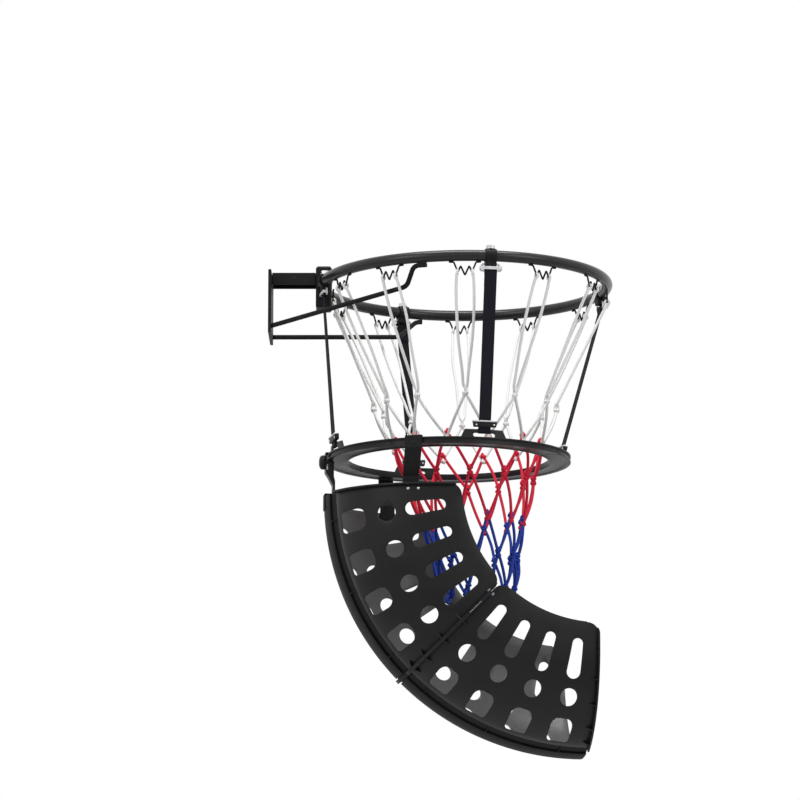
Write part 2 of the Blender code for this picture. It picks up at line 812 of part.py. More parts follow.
def outward(side, around_angle, angle):
    """The direction out of the wall at a place on the section."""
    turn = math.radians(around_angle)
    sweep = math.radians(angle)
    return Vector((
        -math.cos(turn) * math.cos(sweep), side * math.sin(turn), -math.cos(turn) * math.sin(sweep)))


def section_point(around_angle):
    """Reach and half-width of the round part of the section, 0 at the spine, 90 at the wall."""
    turn = math.radians(around_angle)
    return SPINE_REACH - HALF_WIDTH * (1 - math.cos(turn)), HALF_WIDTH * math.sin(turn)


def corner_stations(angle, inset, away, rounded_corner):
    """Planes near one end of a segment: (angle, shift, how far the free edge draws back)."""
    stations = []
    corner = CHUTE_CORNER if rounded_corner else 0.0
    for turn in (0, 45, 90):
        beta = math.radians(turn)
        along = inset + CHUTE_CORNER * (1 - math.cos(beta))
        stations.append((angle, away * along, corner * (1 - math.sin(beta))))
    return stations


def segment_stations(first, last, inset, round_first, round_last):
    """Every plane of a segment, from its upper end to its lower one."""
    stations = corner_stations(first, inset, 1, round_first)
    for step in range(1, SWEEP_STEPS):
        stations.append((first + (last - first) * step / SWEEP_STEPS, 0.0, 0.0))
    stations += reversed(corner_stations(last, inset, -1, round_last))
    return stations


def side_panel_mesh(side, first, last, round_first, round_last):
    """One side of a segment, with a flange standing out at each end."""
    inset = CHUTE_WALL + GAP / 2
    columns = []
    joint = math.degrees(PANEL_JOINT / 2 / HALF_WIDTH)
    for step in range(SIDE_STEPS + 1):
        columns.append(CREASE_ANGLE + (joint if step == 0 else 0) + SIDE_STEP_ANGLE * step)
    columns[-1] = 90.0
    rows = []
    stations = segment_stations(first, last, inset, round_first, round_last)
    for angle, shift, draw in stations:
        row = []
        for around_angle in columns:
            reach, half = section_point(around_angle)
            row.append(swept(reach, side * half, angle, shift))
        row.append(swept(FREE_REACH + draw, side * HALF_WIDTH, angle, shift))
        rows.append(row)
    outs = [*columns, 90.0]
    for index in (0, -1):
        angle = stations[index][0]
        tip = [point + outward(side, turn, angle) * FLANGE_PROUD for point, turn in zip(rows[index], outs)]
        rows.insert(0 if index == 0 else len(rows), tip)
    if side < 0:
        rows = [list(reversed(row)) for row in rows]
    return sheet_mesh(rows)


def spine_panel_mesh(first, last):
    """The band between the two creases."""
    joint = math.degrees(PANEL_JOINT / 2 / HALF_WIDTH)
    limit = CREASE_ANGLE - joint
    rows = []
    for angle, shift, _ in segment_stations(first, last, GAP / 2, False, False):
        row = []
        for step in range(SPINE_STEPS + 1):
            around_angle = limit * (2 * step / SPINE_STEPS - 1)
            reach, half = section_point(abs(around_angle))
            row.append(swept(reach, math.copysign(half, around_angle), angle, shift))
        rows.append(row)
    return sheet_mesh(rows)


def arc_points(centre, radius, start, end, steps):
    """Points on an arc, angles in degrees."""
    points = []
    for step in range(steps + 1):
        turn = math.radians(start + (end - start) * step / steps)
        points.append((centre[0] + radius * math.cos(turn), centre[1] + radius * math.sin(turn)))
    return points


def hole_outlines():
    """The three holes of a station as (reach, offset along the path)."""
    narrow = SLOT_NARROW / 2
    wide = SLOT_WIDE / 2
    slot = arc_points((SLOT_REACH + narrow, 0), narrow, 90, 270, 3)
    slot += arc_points((SLOT_END - wide, 0), wide, -90, 90, 3)
    circle = arc_points((ROUND_REACH, 0), ROUND_RADIUS, 0, 320, 8)
    half = SQUARE_WIDTH / 2
    outer = SQUARE_REACH + SQUARE_LENGTH - SQUARE_CORNER
    inner = SQUARE_REACH + SQUARE_ARCH
    square = arc_points((outer, half - SQUARE_CORNER), SQUARE_CORNER, 0, 90, 1)
    square += arc_points((inner, half - SQUARE_ARCH), SQUARE_ARCH, 90, 180, 2)
    square += arc_points((inner, SQUARE_ARCH - half), SQUARE_ARCH, 180, 270, 2)
    square += arc_points((outer, SQUARE_CORNER - half), SQUARE_CORNER, 270, 360, 1)
    return slot, circle, square


def hole_cutter(name, stations, chute_axis):
    """Prisms along the lateral axis, through both sides of a segment."""
    outlines = []
    for station in stations:
        turn = math.radians(station)
        radial = Vector((-math.cos(turn), -math.sin(turn)))
        path = Vector((math.sin(turn), -math.cos(turn)))
        for outline in hole_outlines():
            centre = Vector((BEND_FORWARD, -CHUTE_DROP))
            outlines.append([centre + radial * reach + path * along for reach, along in outline])
    cutter = place(name, flat_mesh(outlines, HALF_WIDTH + OVERRUN), chute_axis)
    cutter.rotation_euler = (math.radians(90), 0, 0)
    return cutter


def seam_bolt_matrix(side):
    """Where a seam bolt lies, its Z along the chute's path."""
    turn = math.radians(SEAM)
    path = Vector((math.sin(turn), 0, -math.cos(turn)))
    across = Vector((0, 1, 0))
    axes = Matrix((across.cross(path), across, path)).transposed().to_4x4()
    centre = swept(SEAM_BOLT_REACH, side * (HALF_WIDTH + FLANGE_PROUD / 2), SEAM)
    return Matrix.Translation(centre) @ axes


def make_seam_bolt(name, side, chute_axis):
    """A bolt and nut through the two seam flanges, as one body."""
    half = CHUTE_WALL + GAP / 2 + GAP
    top = half + SEAM_HEAD_HEIGHT
    profile = (
        (0, top), (SEAM_HEAD_RADIUS, top), (SEAM_HEAD_RADIUS, half), (SEAM_BOLT_RADIUS, half),
        (SEAM_BOLT_RADIUS, -half), (SEAM_HEAD_RADIUS, -half), (SEAM_HEAD_RADIUS, -top), (0, -top))
    bolt = turned(name, profile, chute_axis, silver_steel(), 8)
    bolt.matrix_local = seam_bolt_matrix(side)


def make_boss(chute_axis):
    """The block on the upper spine panel that the rear hanger is screwed to."""
    outer = -SPINE_BACKSET - BOSS_PROUD
    inner = -REAR_ARM_REACH - GAP
    top = -CHUTE_DROP + BOSS_RISE
    bottom = -CHUTE_DROP - REAR_FOOT
    return place(
        "boss", block_mesh((outer, -BOSS_WIDTH / 2, bottom), (inner, BOSS_WIDTH / 2, top)), chute_axis)


def make_chute(chute_axis):
    first_holes = [HOLE_FIRST + HOLE_PITCH * step for step in range(HOLES_A_SEGMENT)]
    segments = (
        ("upper", 0.0, SEAM, True, False, first_holes),
        ("lower", SEAM, SWEEP, True, True, [SWEEP - station for station in first_holes]),
    )
    for segment, first, last, round_first, round_last, stations in segments:
        cutter = hole_cutter(f"{segment}_holes", stations, chute_axis)
        for name, side in (("near", -1), ("far", 1)):
            panel = place(
                f"chute_{segment}_{name}", side_panel_mesh(side, first, last, round_first, round_last),
                chute_axis, black_plastic())
            thicken(panel, CHUTE_WALL, -1)
            cut(panel, cutter)
            drill = place(
                f"{segment}_{name}_drill",
                rod_mesh(SEAM_BOLT_RADIUS + BORE_SLACK, 4 * CHUTE_WALL, 12), chute_axis)
            drill.matrix_local = seam_bolt_matrix(side)
            cut(panel, drill)
        spine = place(
            f"chute_{segment}_spine", spine_panel_mesh(first, last), chute_axis, black_plastic())
        thicken(spine, CHUTE_WALL, -1)
        if segment == "upper":
            join(spine, make_boss(chute_axis))
            cut(spine, rear_screw_drill(chute_axis))
    make_seam_bolt("seam_bolt_near", -1, chute_axis)
    make_seam_bolt("seam_bolt_far", 1, chute_axis)


# Hangers, lock knob and rear screw


def make_side_hanger(name, side, chute_axis):
    """A strip from a tab on the ring, down past it, and in against the wall's inner face."""
    half = HANGER_THICK / 2
    ring_angle = side * HANGER_RING_ANGLE
    leg = RING_OUTER + HANGER_RING_GAP + half
    tab = leg + half - HANGER_TAB
    seat = HANGER_RING_GAP + half
    jog_top = -RING_HEIGHT - HANGER_JOG_TOP
    across = around(1, ring_angle + 90)
    facet = CREASE_ANGLE + HANGER_FACET * SIDE_STEP_ANGLE
    inner_face = (HALF_WIDTH - CHUTE_WALL) * math.cos(math.radians(SIDE_STEP_ANGLE / 2))
    wall_angle = side * (180 - facet)
    wall = Vector((WALL_CENTRE, 0, 0)) + around(inner_face - HANGER_WALL_GAP - half, wall_angle)
    wall_across = around(1, wall_angle + 90)
    low = Vector((0, 0, -CHUTE_DROP))
    path = (
        (around(tab, ring_angle, seat), across, HANGER_WIDTH),
        (around(leg, ring_angle, seat), across, HANGER_WIDTH),
        (around(leg, ring_angle, jog_top), across, HANGER_WIDTH),
        (wall + low + Vector((0, 0, HANGER_JOG_GAP)), wall_across, HANGER_FOOT_WIDTH),
        (wall + low - Vector((0, 0, HANGER_FOOT)), wall_across, HANGER_FOOT_WIDTH),
    )
    rows = [(centre - way * width / 2, centre + way * width / 2) for centre, way, width in path]
    hanger = place(name, sheet_mesh(rows), chute_axis, black_plastic())
    thicken(hanger, HANGER_THICK, 0)


def rear_outline():
    """The rear hanger's profile as (radius, height): tab, lip, slit clamp, jog and arm."""
    lip = REAR_OUTER - REAR_LIP
    block_inner = REAR_BLOCK_OUTER - REAR_BLOCK
    block_bottom = REAR_BLOCK_TOP - REAR_BLOCK_HEIGHT
    arm_inner = REAR_ARM_REACH - REAR_ARM_THICK
    foot = -CHUTE_DROP - REAR_FOOT
    return (
        (REAR_OUTER - HANGER_TAB, HANGER_RING_GAP),
        (REAR_OUTER - HANGER_TAB, HANGER_RING_GAP + REAR_TAB_THICK),
        (REAR_OUTER, HANGER_RING_GAP + REAR_TAB_THICK),
        (REAR_OUTER, block_bottom),
        (REAR_BLOCK_OUTER, block_bottom - REAR_SHOULDER),
        (REAR_ARM_REACH, block_bottom - REAR_SHOULDER - REAR_JOG),
        (REAR_ARM_REACH, foot),
        (arm_inner, foot),
        (arm_inner, block_bottom - REAR_SHOULDER - REAR_JOG / 2),
        (block_inner, block_bottom - REAR_SHOULDER),
        (block_inner, REAR_BLOCK_TOP),
        (REAR_BLOCK_OUTER, REAR_BLOCK_TOP),
        (REAR_BLOCK_OUTER, block_bottom + REAR_LIP_BRIDGE),
        (lip, block_bottom + REAR_LIP_BRIDGE),
        (lip, HANGER_RING_GAP),
    )


def rear_screw_place():
    """The rear screw's height below the ring."""
    return -CHUTE_DROP - REAR_SCREW_DROP


def rear_screw_drill(chute_axis):
    """A blind bore in the boss for the rear screw."""
    length = 2 * (REAR_SCREW_DEPTH + GAP)
    drill = place("rear_screw_drill", rod_mesh(REAR_SCREW_RADIUS + BORE_SLACK, length, 12), chute_axis)
    drill.rotation_euler = (0, math.radians(90), 0)
    drill.location = (-REAR_ARM_REACH, 0, rear_screw_place())
    return drill


def make_rear_hanger(chute_axis):
    hanger = place("hanger_rear", flat_mesh([rear_outline()], REAR_WIDTH / 2), chute_axis, black_plastic())
    hanger.rotation_euler = (math.radians(90), 0, math.radians(180))
    depth = REAR_OUTER - REAR_BLOCK_OUTER + REAR_BLOCK - KNOB_TIP_CLEAR
    knob_drill = place(
        "knob_drill", rod_mesh(KNOB_SHANK_RADIUS + BORE_SLACK, 2 * depth, 12), chute_axis)
    knob_drill.rotation_euler = (0, math.radians(90), 0)
    knob_drill.location = (-REAR_OUTER, 0, KNOB_HEIGHT)
    cut(hanger, knob_drill)
    cut(hanger, rear_screw_drill(chute_axis))


def make_knob(chute_axis):
    """A domed knob and its screw, turned about the radial axis."""
    base = GAP
    shank = -(REAR_OUTER - REAR_BLOCK_OUTER + REAR_BLOCK - 2 * KNOB_TIP_CLEAR)
    rim = base + KNOB_LENGTH - KNOB_EDGE
    profile = [(0, base + KNOB_LENGTH)]
    for turn in (60, 30, 0):
        angle = math.radians(turn)
        profile.append((KNOB_RADIUS - KNOB_EDGE * (1 - math.cos(angle)), rim + KNOB_EDGE * math.sin(angle)))
    profile += [(KNOB_RADIUS, base), (KNOB_SHANK_RADIUS, base), (KNOB_SHANK_RADIUS, shank), (0, shank)]
    knob = turned("lock_knob", profile, chute_axis, black_plastic(), 18)
    knob.location = (-REAR_OUTER, 0, KNOB_HEIGHT)
    knob.rotation_euler = (0, math.radians(-90), 0)


def make_rear_screw(chute_axis):
    """A screw from inside the chute, through the arm and into the boss."""
    inner = REAR_ARM_THICK + GAP
    head = inner + REAR_SCREW_HEAD_HEIGHT
    profile = (
        (0, head), (REAR_SCREW_HEAD_RADIUS, head), (REAR_SCREW_HEAD_RADIUS, inner),
        (REAR_SCREW_RADIUS, inner), (REAR_SCREW_RADIUS, -REAR_SCREW_DEPTH), (0, -REAR_SCREW_DEPTH))
    screw = turned("rear_screw", profile, chute_axis, silver_steel(), 12)
    screw.location = (-REAR_ARM_REACH, 0, rear_screw_place())
    screw.rotation_euler = (0, math.radians(90), 0)


# Net


def half_angle(column):
    """The direction midway between a hook and the next one."""
    here = HOOK_ANGLES[column]
    following = HOOK_ANGLES[(column + 1) % len(HOOK_ANGLES)]
    if following < here:
        following += 360
    return (here + following) / 2


def knot(row, column):
    """Knots lie under the hooks on even rows and between them on odd rows."""
    column %= len(HOOK_ANGLES)
    angle = HOOK_ANGLES[column] if row % 2 == 0 else half_angle(column)
    place_of = around(NET_ROW_RADII[row], angle, -NET_ROW_DROPS[row])
    return place_of + Vector((NET_ROW_DRIFTS[row], 0, 0))


def strand(start, end, bulge, start_gap=0.0):
    """A cord from one knot to the next, bowed outwards a little, its ends run past the knots' centres."""
    along = (end - start).normalized()
    start = start + along * (start_gap if start_gap else -CORD_OVERLAP)
    end = end + along * CORD_OVERLAP
    middle = (start + end) / 2
    out = Vector((middle.x, middle.y, 0)).normalized()
    return [start, middle + out * bulge, end]


def links(row):
    """The pairs of columns that join one row to the next."""
    for column in range(len(HOOK_ANGLES)):
        if row % 2 == 0:
            yield column, column
            yield column, column - 1
        else:
            yield column, column
            yield column, column + 1


def top_strands():
    """Two cords from each hook down to the first row of knots."""
    runs = []
    start_height = HOOK_BOTTOM - HOOK_WIRE
    for column, angle in enumerate(HOOK_ANGLES):
        across = around(1, angle + 90)
        for side in (-1, 1):
            top = around(hook_radius(column), angle, start_height) + across * side * HOOK_BOTTOM_SPREAD
            runs.append(strand(top, knot(0, column), -NET_BULGE, GAP))
    return runs


def net_body(name, runs, knots, rim_axis, colour):
    """Cords and knots of one colour, joined into one closed body."""
    mesh = bpy.data.meshes.new(name)
    shape = bmesh.new()
    for centre in knots:
        bmesh.ops.create_icosphere(
            shape, subdivisions=1, radius=KNOT_RADIUS, matrix=Matrix.Translation(centre))
    shape.to_mesh(mesh)
    shape.free()
    body = place(name, mesh, rim_axis, finish(name, colour, 0.8, 0.0))
    cords = place(f"{name}_cords", wire_mesh(runs, CORD_RADIUS, resolution=0), rim_axis)
    join(body, cords, itself=True)


def make_net(rim_axis):
    columns = range(len(HOOK_ANGLES))
    start_gap = KNOT_RADIUS + GAP
    bands = (
        ("net_white", (0,), top_strands(), (0, 1), (0.86, 0.86, 0.84)),
        ("net_red", (1, 2), [], (2, 3), (0.62, 0.02, 0.05)),
        ("net_blue", (3, 4), [], (4, 5), (0.03, 0.07, 0.42)),
    )
    for name, rows, runs, knot_rows, colour in bands:
        for row in rows:
            gap = start_gap if row == rows[0] and row else 0.0
            for upper, lower in links(row):
                runs.append(strand(knot(row, upper), knot(row + 1, lower), NET_BULGE, gap))
        knots = [knot(row, column) for row in knot_rows for column in columns]
        net_body(name, runs, knots, rim_axis, colour)


def main():
    start_scene()
    rim_axis = empty("rim_axis", (RIM_REACH, 0, RIM_RISE))
    ring_axis = empty("ring_axis", RING_CENTRE, parent=rim_axis)
    chute_axis = empty("chute_axis", (0, 0, 0), CHUTE_YAW, ring_axis)
    make_plate()
    make_arm(rim_axis)
    tunnel = make_rim(rim_axis)
    make_yoke(rim_axis, tunnel)
    make_braces(rim_axis)
    make_hooks(rim_axis)
    make_clamps(rim_axis, tunnel)
    make_ring(ring_axis)
    make_straps(rim_axis)
    make_sliders(rim_axis)
    make_chute(chute_axis)
    make_side_hanger("hanger_near", -1, chute_axis)
    make_side_hanger("hanger_far", 1, chute_axis)
    make_rear_hanger(chute_axis)
    make_knob(chute_axis)
    make_rear_screw(chute_axis)
    make_net(rim_axis)


main()
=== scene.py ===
"""Basketball return net, dressed: finishes, cords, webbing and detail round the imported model.

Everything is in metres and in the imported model's frame: the mounting plate's back is at X 0, +X
points from the plate to the rim and +Z up. Pieces are drawn in their own frame, such as the rim's
or the chute's, then carried to their place, and end with their object at the origin.
"""
import json
import math
import random

import bmesh
import bpy
from bpy.props import FloatProperty, FloatVectorProperty, IntProperty, PointerProperty
from mathutils import Matrix, Vector


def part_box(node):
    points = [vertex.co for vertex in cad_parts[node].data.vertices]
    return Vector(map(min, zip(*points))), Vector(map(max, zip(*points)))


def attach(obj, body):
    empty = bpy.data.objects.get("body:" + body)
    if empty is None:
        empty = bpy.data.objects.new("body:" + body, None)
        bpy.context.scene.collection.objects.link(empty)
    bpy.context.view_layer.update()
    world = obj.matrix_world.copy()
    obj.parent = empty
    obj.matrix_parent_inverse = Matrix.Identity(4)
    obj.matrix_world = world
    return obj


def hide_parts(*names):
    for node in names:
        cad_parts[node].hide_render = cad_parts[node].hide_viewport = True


bl_info = {
    "name": "Basketball return net",
    "version": (1, 0, 0),
    "blender": (4, 5, 0),
    "location": "3D View > Sidebar > Return net",
    "description": "Builds the visible pieces of a basketball return net round its packed model",
    "category": "Add Mesh",
}

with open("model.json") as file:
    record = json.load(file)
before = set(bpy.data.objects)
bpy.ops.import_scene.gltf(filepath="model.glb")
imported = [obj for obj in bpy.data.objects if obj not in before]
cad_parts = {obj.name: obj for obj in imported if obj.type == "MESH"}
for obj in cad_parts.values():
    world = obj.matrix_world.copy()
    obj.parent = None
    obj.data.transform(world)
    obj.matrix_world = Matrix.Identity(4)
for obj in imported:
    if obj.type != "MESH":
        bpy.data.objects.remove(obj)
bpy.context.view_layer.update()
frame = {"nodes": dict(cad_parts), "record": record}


def middle(node):
    """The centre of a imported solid's box."""
    low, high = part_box(node)
    return (low + high) / 2


def joint_place(name):
    """A joint's place and axis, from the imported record."""
    joints = frame["record"]["behaviour"]["joints"]
    found = next(joint for joint in joints if joint["name"] == name)
    return Vector(found["pos_m"]), Vector(found["axis"])


RIM_CENTRE = middle("rim_tube")
RING_CENTRE, _ = joint_place("chute_swivel")
KNOB_SEAT, KNOB_AXIS = joint_place("lock_knob_turn")
CHUTE_YAW = math.atan2(-KNOB_AXIS.y, -KNOB_AXIS.x)

RIM_FRAME = Matrix.Translation(RIM_CENTRE)
RING_FRAME = Matrix.Translation(RING_CENTRE)
CHUTE_FRAME = RING_FRAME @ Matrix.Rotation(CHUTE_YAW, 4, "Z")

# Sizes that the solids were drawn to
GAP = 0.0003
RIM_RADIUS = 0.234
TUBE_RADIUS = 0.009
CLAMP_ANGLES = (-81.0, 15.0, 116.0, 191.0)
EAR_ANGLES = (-73.5, 16.5, 106.5, 196.5)
HOOK_ANGLES = (3.0, 32.0, 62.0, 91.0, 126.0, 153.0, 180.0, 211.0, 238.0, 269.0, 301.0, 331.0)
YOKE_HOOK = 6
CLAMP_WIDTH = 0.018
CLAMP_TOP = 0.0105
LOOP_BOTTOM = -0.0245
STRAP_THICK = 0.0012
EAR_OUTER = 0.1935
EAR_THICK = 0.003
EAR_HEIGHT = 0.0133
EAR_SLOT_TOP = 0.0078
BEND_FORWARD = 0.2175
CHUTE_DROP = 0.070
SPINE_REACH = 0.421
FREE_REACH = 0.219
HALF_WIDTH = 0.170
CHUTE_WALL = 0.003
CREASE_ANGLE = 22.0
HOLE_STATIONS = (7.8, 17.8, 27.8, 37.8)
WALL_CENTRE = BEND_FORWARD - SPINE_REACH + HALF_WIDTH
WEB_ANGLES = (28.4, 40.5, 56.0, 70.5)

# Sizes that only the visible pieces have
UP = Vector((0, 0, 1))
LOOP_WIRE = 0.0015
LOOP_TOP = -0.0135
BRACE_RADIUS = 0.004
BRACE_BEND = 0.008
BRACE_HEIGHT = -TUBE_RADIUS - 0.0041
YOKE_HOOK_RADIUS = 0.2174
SEAM_SLIT = 0.04
CREASE_SLIT = 0.15
MIDDLE_REACH = 0.28

# How near two points have to be to be merged
MERGE = 0.000001
CLOSE_MERGE = 0.000005
SOLID_MERGE = 0.00001


# Settings shown in the sidebar


class FinishSettings(bpy.types.PropertyGroup):
    paint: FloatVectorProperty(
        name="Paint", description="Colour of the painted steel", default=(0.007, 0.007, 0.0075),
        subtype="COLOR", size=3, min=0, max=1)
    plastic: FloatVectorProperty(
        name="Plastic", description="Colour of the moulded plastic",
        default=(0.0045, 0.0045, 0.005), subtype="COLOR", size=3, min=0, max=1)
    webbing: FloatVectorProperty(
        name="Webbing", description="Colour of the straps", default=(0.006, 0.006, 0.010),
        subtype="COLOR", size=3, min=0, max=1)
    silver: FloatVectorProperty(
        name="Zinc", description="Colour of the bolts and strap loops", default=(0.60, 0.60, 0.62),
        subtype="COLOR", size=3, min=0, max=1)
    white_cord: FloatVectorProperty(
        name="White cord", description="Colour of the upper net", default=(0.83, 0.83, 0.82),
        subtype="COLOR", size=3, min=0, max=1)
    red_cord: FloatVectorProperty(
        name="Red cord", description="Colour of the middle net", default=(0.68, 0.018, 0.05),
        subtype="COLOR", size=3, min=0, max=1)
    blue_cord: FloatVectorProperty(
        name="Blue cord", description="Colour of the lower net", default=(0.018, 0.05, 0.36),
        subtype="COLOR", size=3, min=0, max=1)


class NetSettings(bpy.types.PropertyGroup):
    cord: FloatProperty(
        name="Cord", description="Radius of the net's cord", default=0.0024, min=0.0015, max=0.003,
        subtype="DISTANCE", unit="LENGTH")
    sides: IntProperty(name="Sides", description="Facets round a cord", default=8, min=6, max=12)
    slack: FloatProperty(
        name="Slack", description="How far a cord bows out between knots", default=0.004,
        min=0.0, max=0.008, subtype="DISTANCE", unit="LENGTH")


class ChuteSettings(bpy.types.PropertyGroup):
    sweep_steps: IntProperty(
        name="Sweep steps", description="Facets along one segment", default=24, min=8, max=48)
    side_steps: IntProperty(
        name="Side steps", description="Facets round one side", default=18, min=6, max=36)
    edge: FloatProperty(
        name="Edge", description="Rounding of the moulded edges", default=0.0009,
        min=0.0002, max=0.0012, subtype="DISTANCE", unit="LENGTH")


class StrapSettings(bpy.types.PropertyGroup):
    width: FloatProperty(
        name="Width", description="Width of the webbing", default=0.020, min=0.015, max=0.022,
        subtype="DISTANCE", unit="LENGTH")


class StageSettings(bpy.types.PropertyGroup):
    floor_drop: FloatProperty(
        name="Floor", description="Height of the floor, measured from the plate", default=-1.95,
        min=-3.2, max=-1.3, subtype="DISTANCE", unit="LENGTH")
    light: FloatProperty(
        name="Light", description="Strength of the room's even light", default=0.56,
        min=0.1, max=1.0)


# Tools for modelling


def rest():
    """Leave edit mode, and select nothing."""
    if bpy.context.object and bpy.context.object.mode != "OBJECT":
        bpy.ops.object.mode_set(mode="OBJECT")
    bpy.ops.object.select_all(action="DESELECT")


def hold(piece):
    """Select one piece and make it the active one."""
    rest()
    piece.select_set(True)
    bpy.context.view_layer.objects.active = piece


def enter(piece):
    """Open a piece in edit mode, with all of it selected."""
    hold(piece)
    bpy.ops.object.mode_set(mode="EDIT")
    bpy.ops.mesh.select_mode(type="VERT")
    bpy.ops.mesh.select_all(action="SELECT")


def started(name):
    """Name the primitive just added, and open it with its place in its mesh."""
    piece = bpy.context.object
    piece.name = name
    piece.data.name = name
    bpy.ops.object.transform_apply(location=True, rotation=True, scale=True)
    enter(piece)
    return piece


def pick(piece, test, kind="VERT"):
    """In edit mode, select the vertices or faces whose middle passes a test."""
    bpy.ops.mesh.select_mode(type=kind)
    bpy.ops.mesh.select_all(action="DESELECT")
    mesh = bmesh.from_edit_mesh(piece.data)
    if kind == "VERT":
        for vert in mesh.verts:
            vert.select = test(vert.co)
    else:
        for face in mesh.faces:
            face.select_set(test(face.calc_center_median()))
    mesh.select_flush_mode()
    bmesh.update_edit_mesh(piece.data)


def use(piece, kind, **settings):
    """Add a modifier and apply it."""
    step = piece.modifiers.new(kind.lower(), kind)
    for name, value in settings.items():
        setattr(step, name, value)
    hold(piece)
    bpy.ops.object.modifier_apply(modifier=step.name)


def drill(piece, cutter, again=False):
    """Take a cutter's shape out of a piece, and drop the cutter unless it is needed again."""
    use(piece, "BOOLEAN", operation="DIFFERENCE", solver="EXACT", object=cutter)
    if not again:
        discard(cutter)


def soften(piece, width, segments=2, angle=40, harden=False):
    """Round a piece's sharp edges."""
    use(piece, "BEVEL", width=width, segments=segments, limit_method="ANGLE",
        angle_limit=math.radians(angle), harden_normals=harden)


def discard(*pieces):
    """Remove patterns and cutters that have done their work."""
    for piece in pieces:
        bpy.data.objects.remove(piece, do_unlink=True)


def carry(piece, place):
    """Move a piece to its place, and keep that place in its mesh."""
    hold(piece)
    piece.matrix_world = place @ piece.matrix_world
    bpy.ops.object.transform_apply(location=True, rotation=True, scale=True)
    return piece


def close_up(piece):
    """Merge doubles and turn the faces outwards."""
    enter(piece)
    bpy.ops.mesh.remove_doubles(threshold=CLOSE_MERGE)
    bpy.ops.mesh.normals_make_consistent(inside=False)
    rest()


def smooth(piece, angle=35):
    """Shade a piece smooth, but for its sharp edges."""
    hold(piece)
    bpy.ops.object.shade_smooth_by_angle(angle=math.radians(angle))


def copy_of(piece, place, name=None):
    """A copy with its own mesh, carried to a place."""
    made = piece.copy()
    made.data = piece.data.copy()
    if name:
        made.name = name
    bpy.context.collection.objects.link(made)
    return carry(made, place)


def joined(name, pieces):
    """Make one object of several."""
    rest()
    for piece in pieces:
        piece.select_set(True)
    bpy.context.view_layer.objects.active = pieces[0]
    if len(pieces) > 1:
        bpy.ops.object.join()
    pieces[0].name = name
    pieces[0].data.name = name
    return pieces[0]


def block(name, centre, size):
    """A box at its size and place."""
    rest()
    bpy.ops.mesh.primitive_cube_add(size=1, location=centre, scale=size)
    piece = started(name)
    rest()
    return piece


def cylinder(name, centre, radius, depth, sides=32, lean=0.0):
    """A cylinder at its size and place, laid over about X by degrees, in edit mode."""
    rest()
    bpy.ops.mesh.primitive_cylinder_add(
        vertices=sides, radius=radius, depth=depth, location=centre,
        rotation=(math.radians(lean), 0, 0))
    return started(name)


def drawn(name, points, closed=False):
    """A line drawn by extruding one vertex from place to place."""
    rest()
    points = [Vector(point) for point in points]
    bpy.ops.mesh.primitive_plane_add(size=0.001, location=points[0])
    piece = started(name)
    bpy.ops.mesh.merge(type="CENTER")
    stops = [*points, points[0]] if closed else points
    for before, after in zip(stops, stops[1:]):
        bpy.ops.mesh.extrude_region_move(TRANSFORM_OT_translate={"value": after - before})
    if closed:
        bpy.ops.mesh.select_all(action="SELECT")
        bpy.ops.mesh.remove_doubles(threshold=MERGE)
    return piece


def spin_all(steps, angle, centre=(0, 0, 0), axis=(0, 0, 1)):
    """In edit mode, sweep all there is about an axis, and leave all of it selected."""
    bpy.ops.mesh.select_all(action="SELECT")
    bpy.ops.mesh.spin(steps=steps, angle=math.radians(angle), center=centre, axis=axis)
    bpy.ops.mesh.select_all(action="SELECT")


def plate(name, points, depth):
    """A flat outline filled and extruded by a vector."""
    piece = drawn(name, points, closed=True)
    bpy.ops.mesh.select_all(action="SELECT")
    bpy.ops.mesh.edge_face_add()
    bpy.ops.mesh.extrude_region_move(TRANSFORM_OT_translate={"value": Vector(depth)})
    close_up(piece)
    return piece


def wire(name, points, radius, bend=0.0, closed=False, resolution=3):
    """A round wire along a line, its corners bent."""
    piece = drawn(name, points, closed)
    if bend:
        ends = () if closed else (Vector(points[0]), Vector(points[-1]))
        pick(piece, lambda place: all((place - end).length > 0.00001 for end in ends))
        bpy.ops.mesh.bevel(offset=bend, segments=5, affect="VERTICES")
    hold(piece)
    bpy.ops.object.convert(target="CURVE")
    piece = bpy.context.object
    piece.data.bevel_depth = radius
    piece.data.bevel_resolution = resolution
    piece.data.use_fill_caps = True
    bpy.ops.object.convert(target="MESH")
    piece = bpy.context.object
    close_up(piece)
    smooth(piece)
    return piece


def turned(name, profile, steps=32):
    """A body of revolution about Z from a line of (radius, height), axis to axis."""
    piece = drawn(name, [(radius, 0, height) for radius, height in profile])
    spin_all(steps, 360)
    close_up(piece)
    smooth(piece)
    return piece


def around(radius, angle, height=0.0):
    """A point at an angle about Z, in degrees."""
    turn = math.radians(angle)
    return Vector((radius * math.cos(turn), radius * math.sin(turn), height))


def rotation(angle, axis="Z"):
    """A turn about an axis, in degrees."""
    return Matrix.Rotation(math.radians(angle), 4, axis)


def pointed(spot, way):
    """The place of a piece that stands at a spot with its Z axis along a direction."""
    return Matrix.Translation(spot) @ way.to_track_quat("Z", "Y").to_matrix().to_4x4()


def arc(centre, radius, start, end, steps):
    """Points on an arc in a plane, angles in degrees."""
    points = []
    for step in range(steps + 1):
        turn = math.radians(start + (end - start) * step / steps)
        points.append((centre[0] + radius * math.cos(turn), centre[1] + radius * math.sin(turn)))
    return points


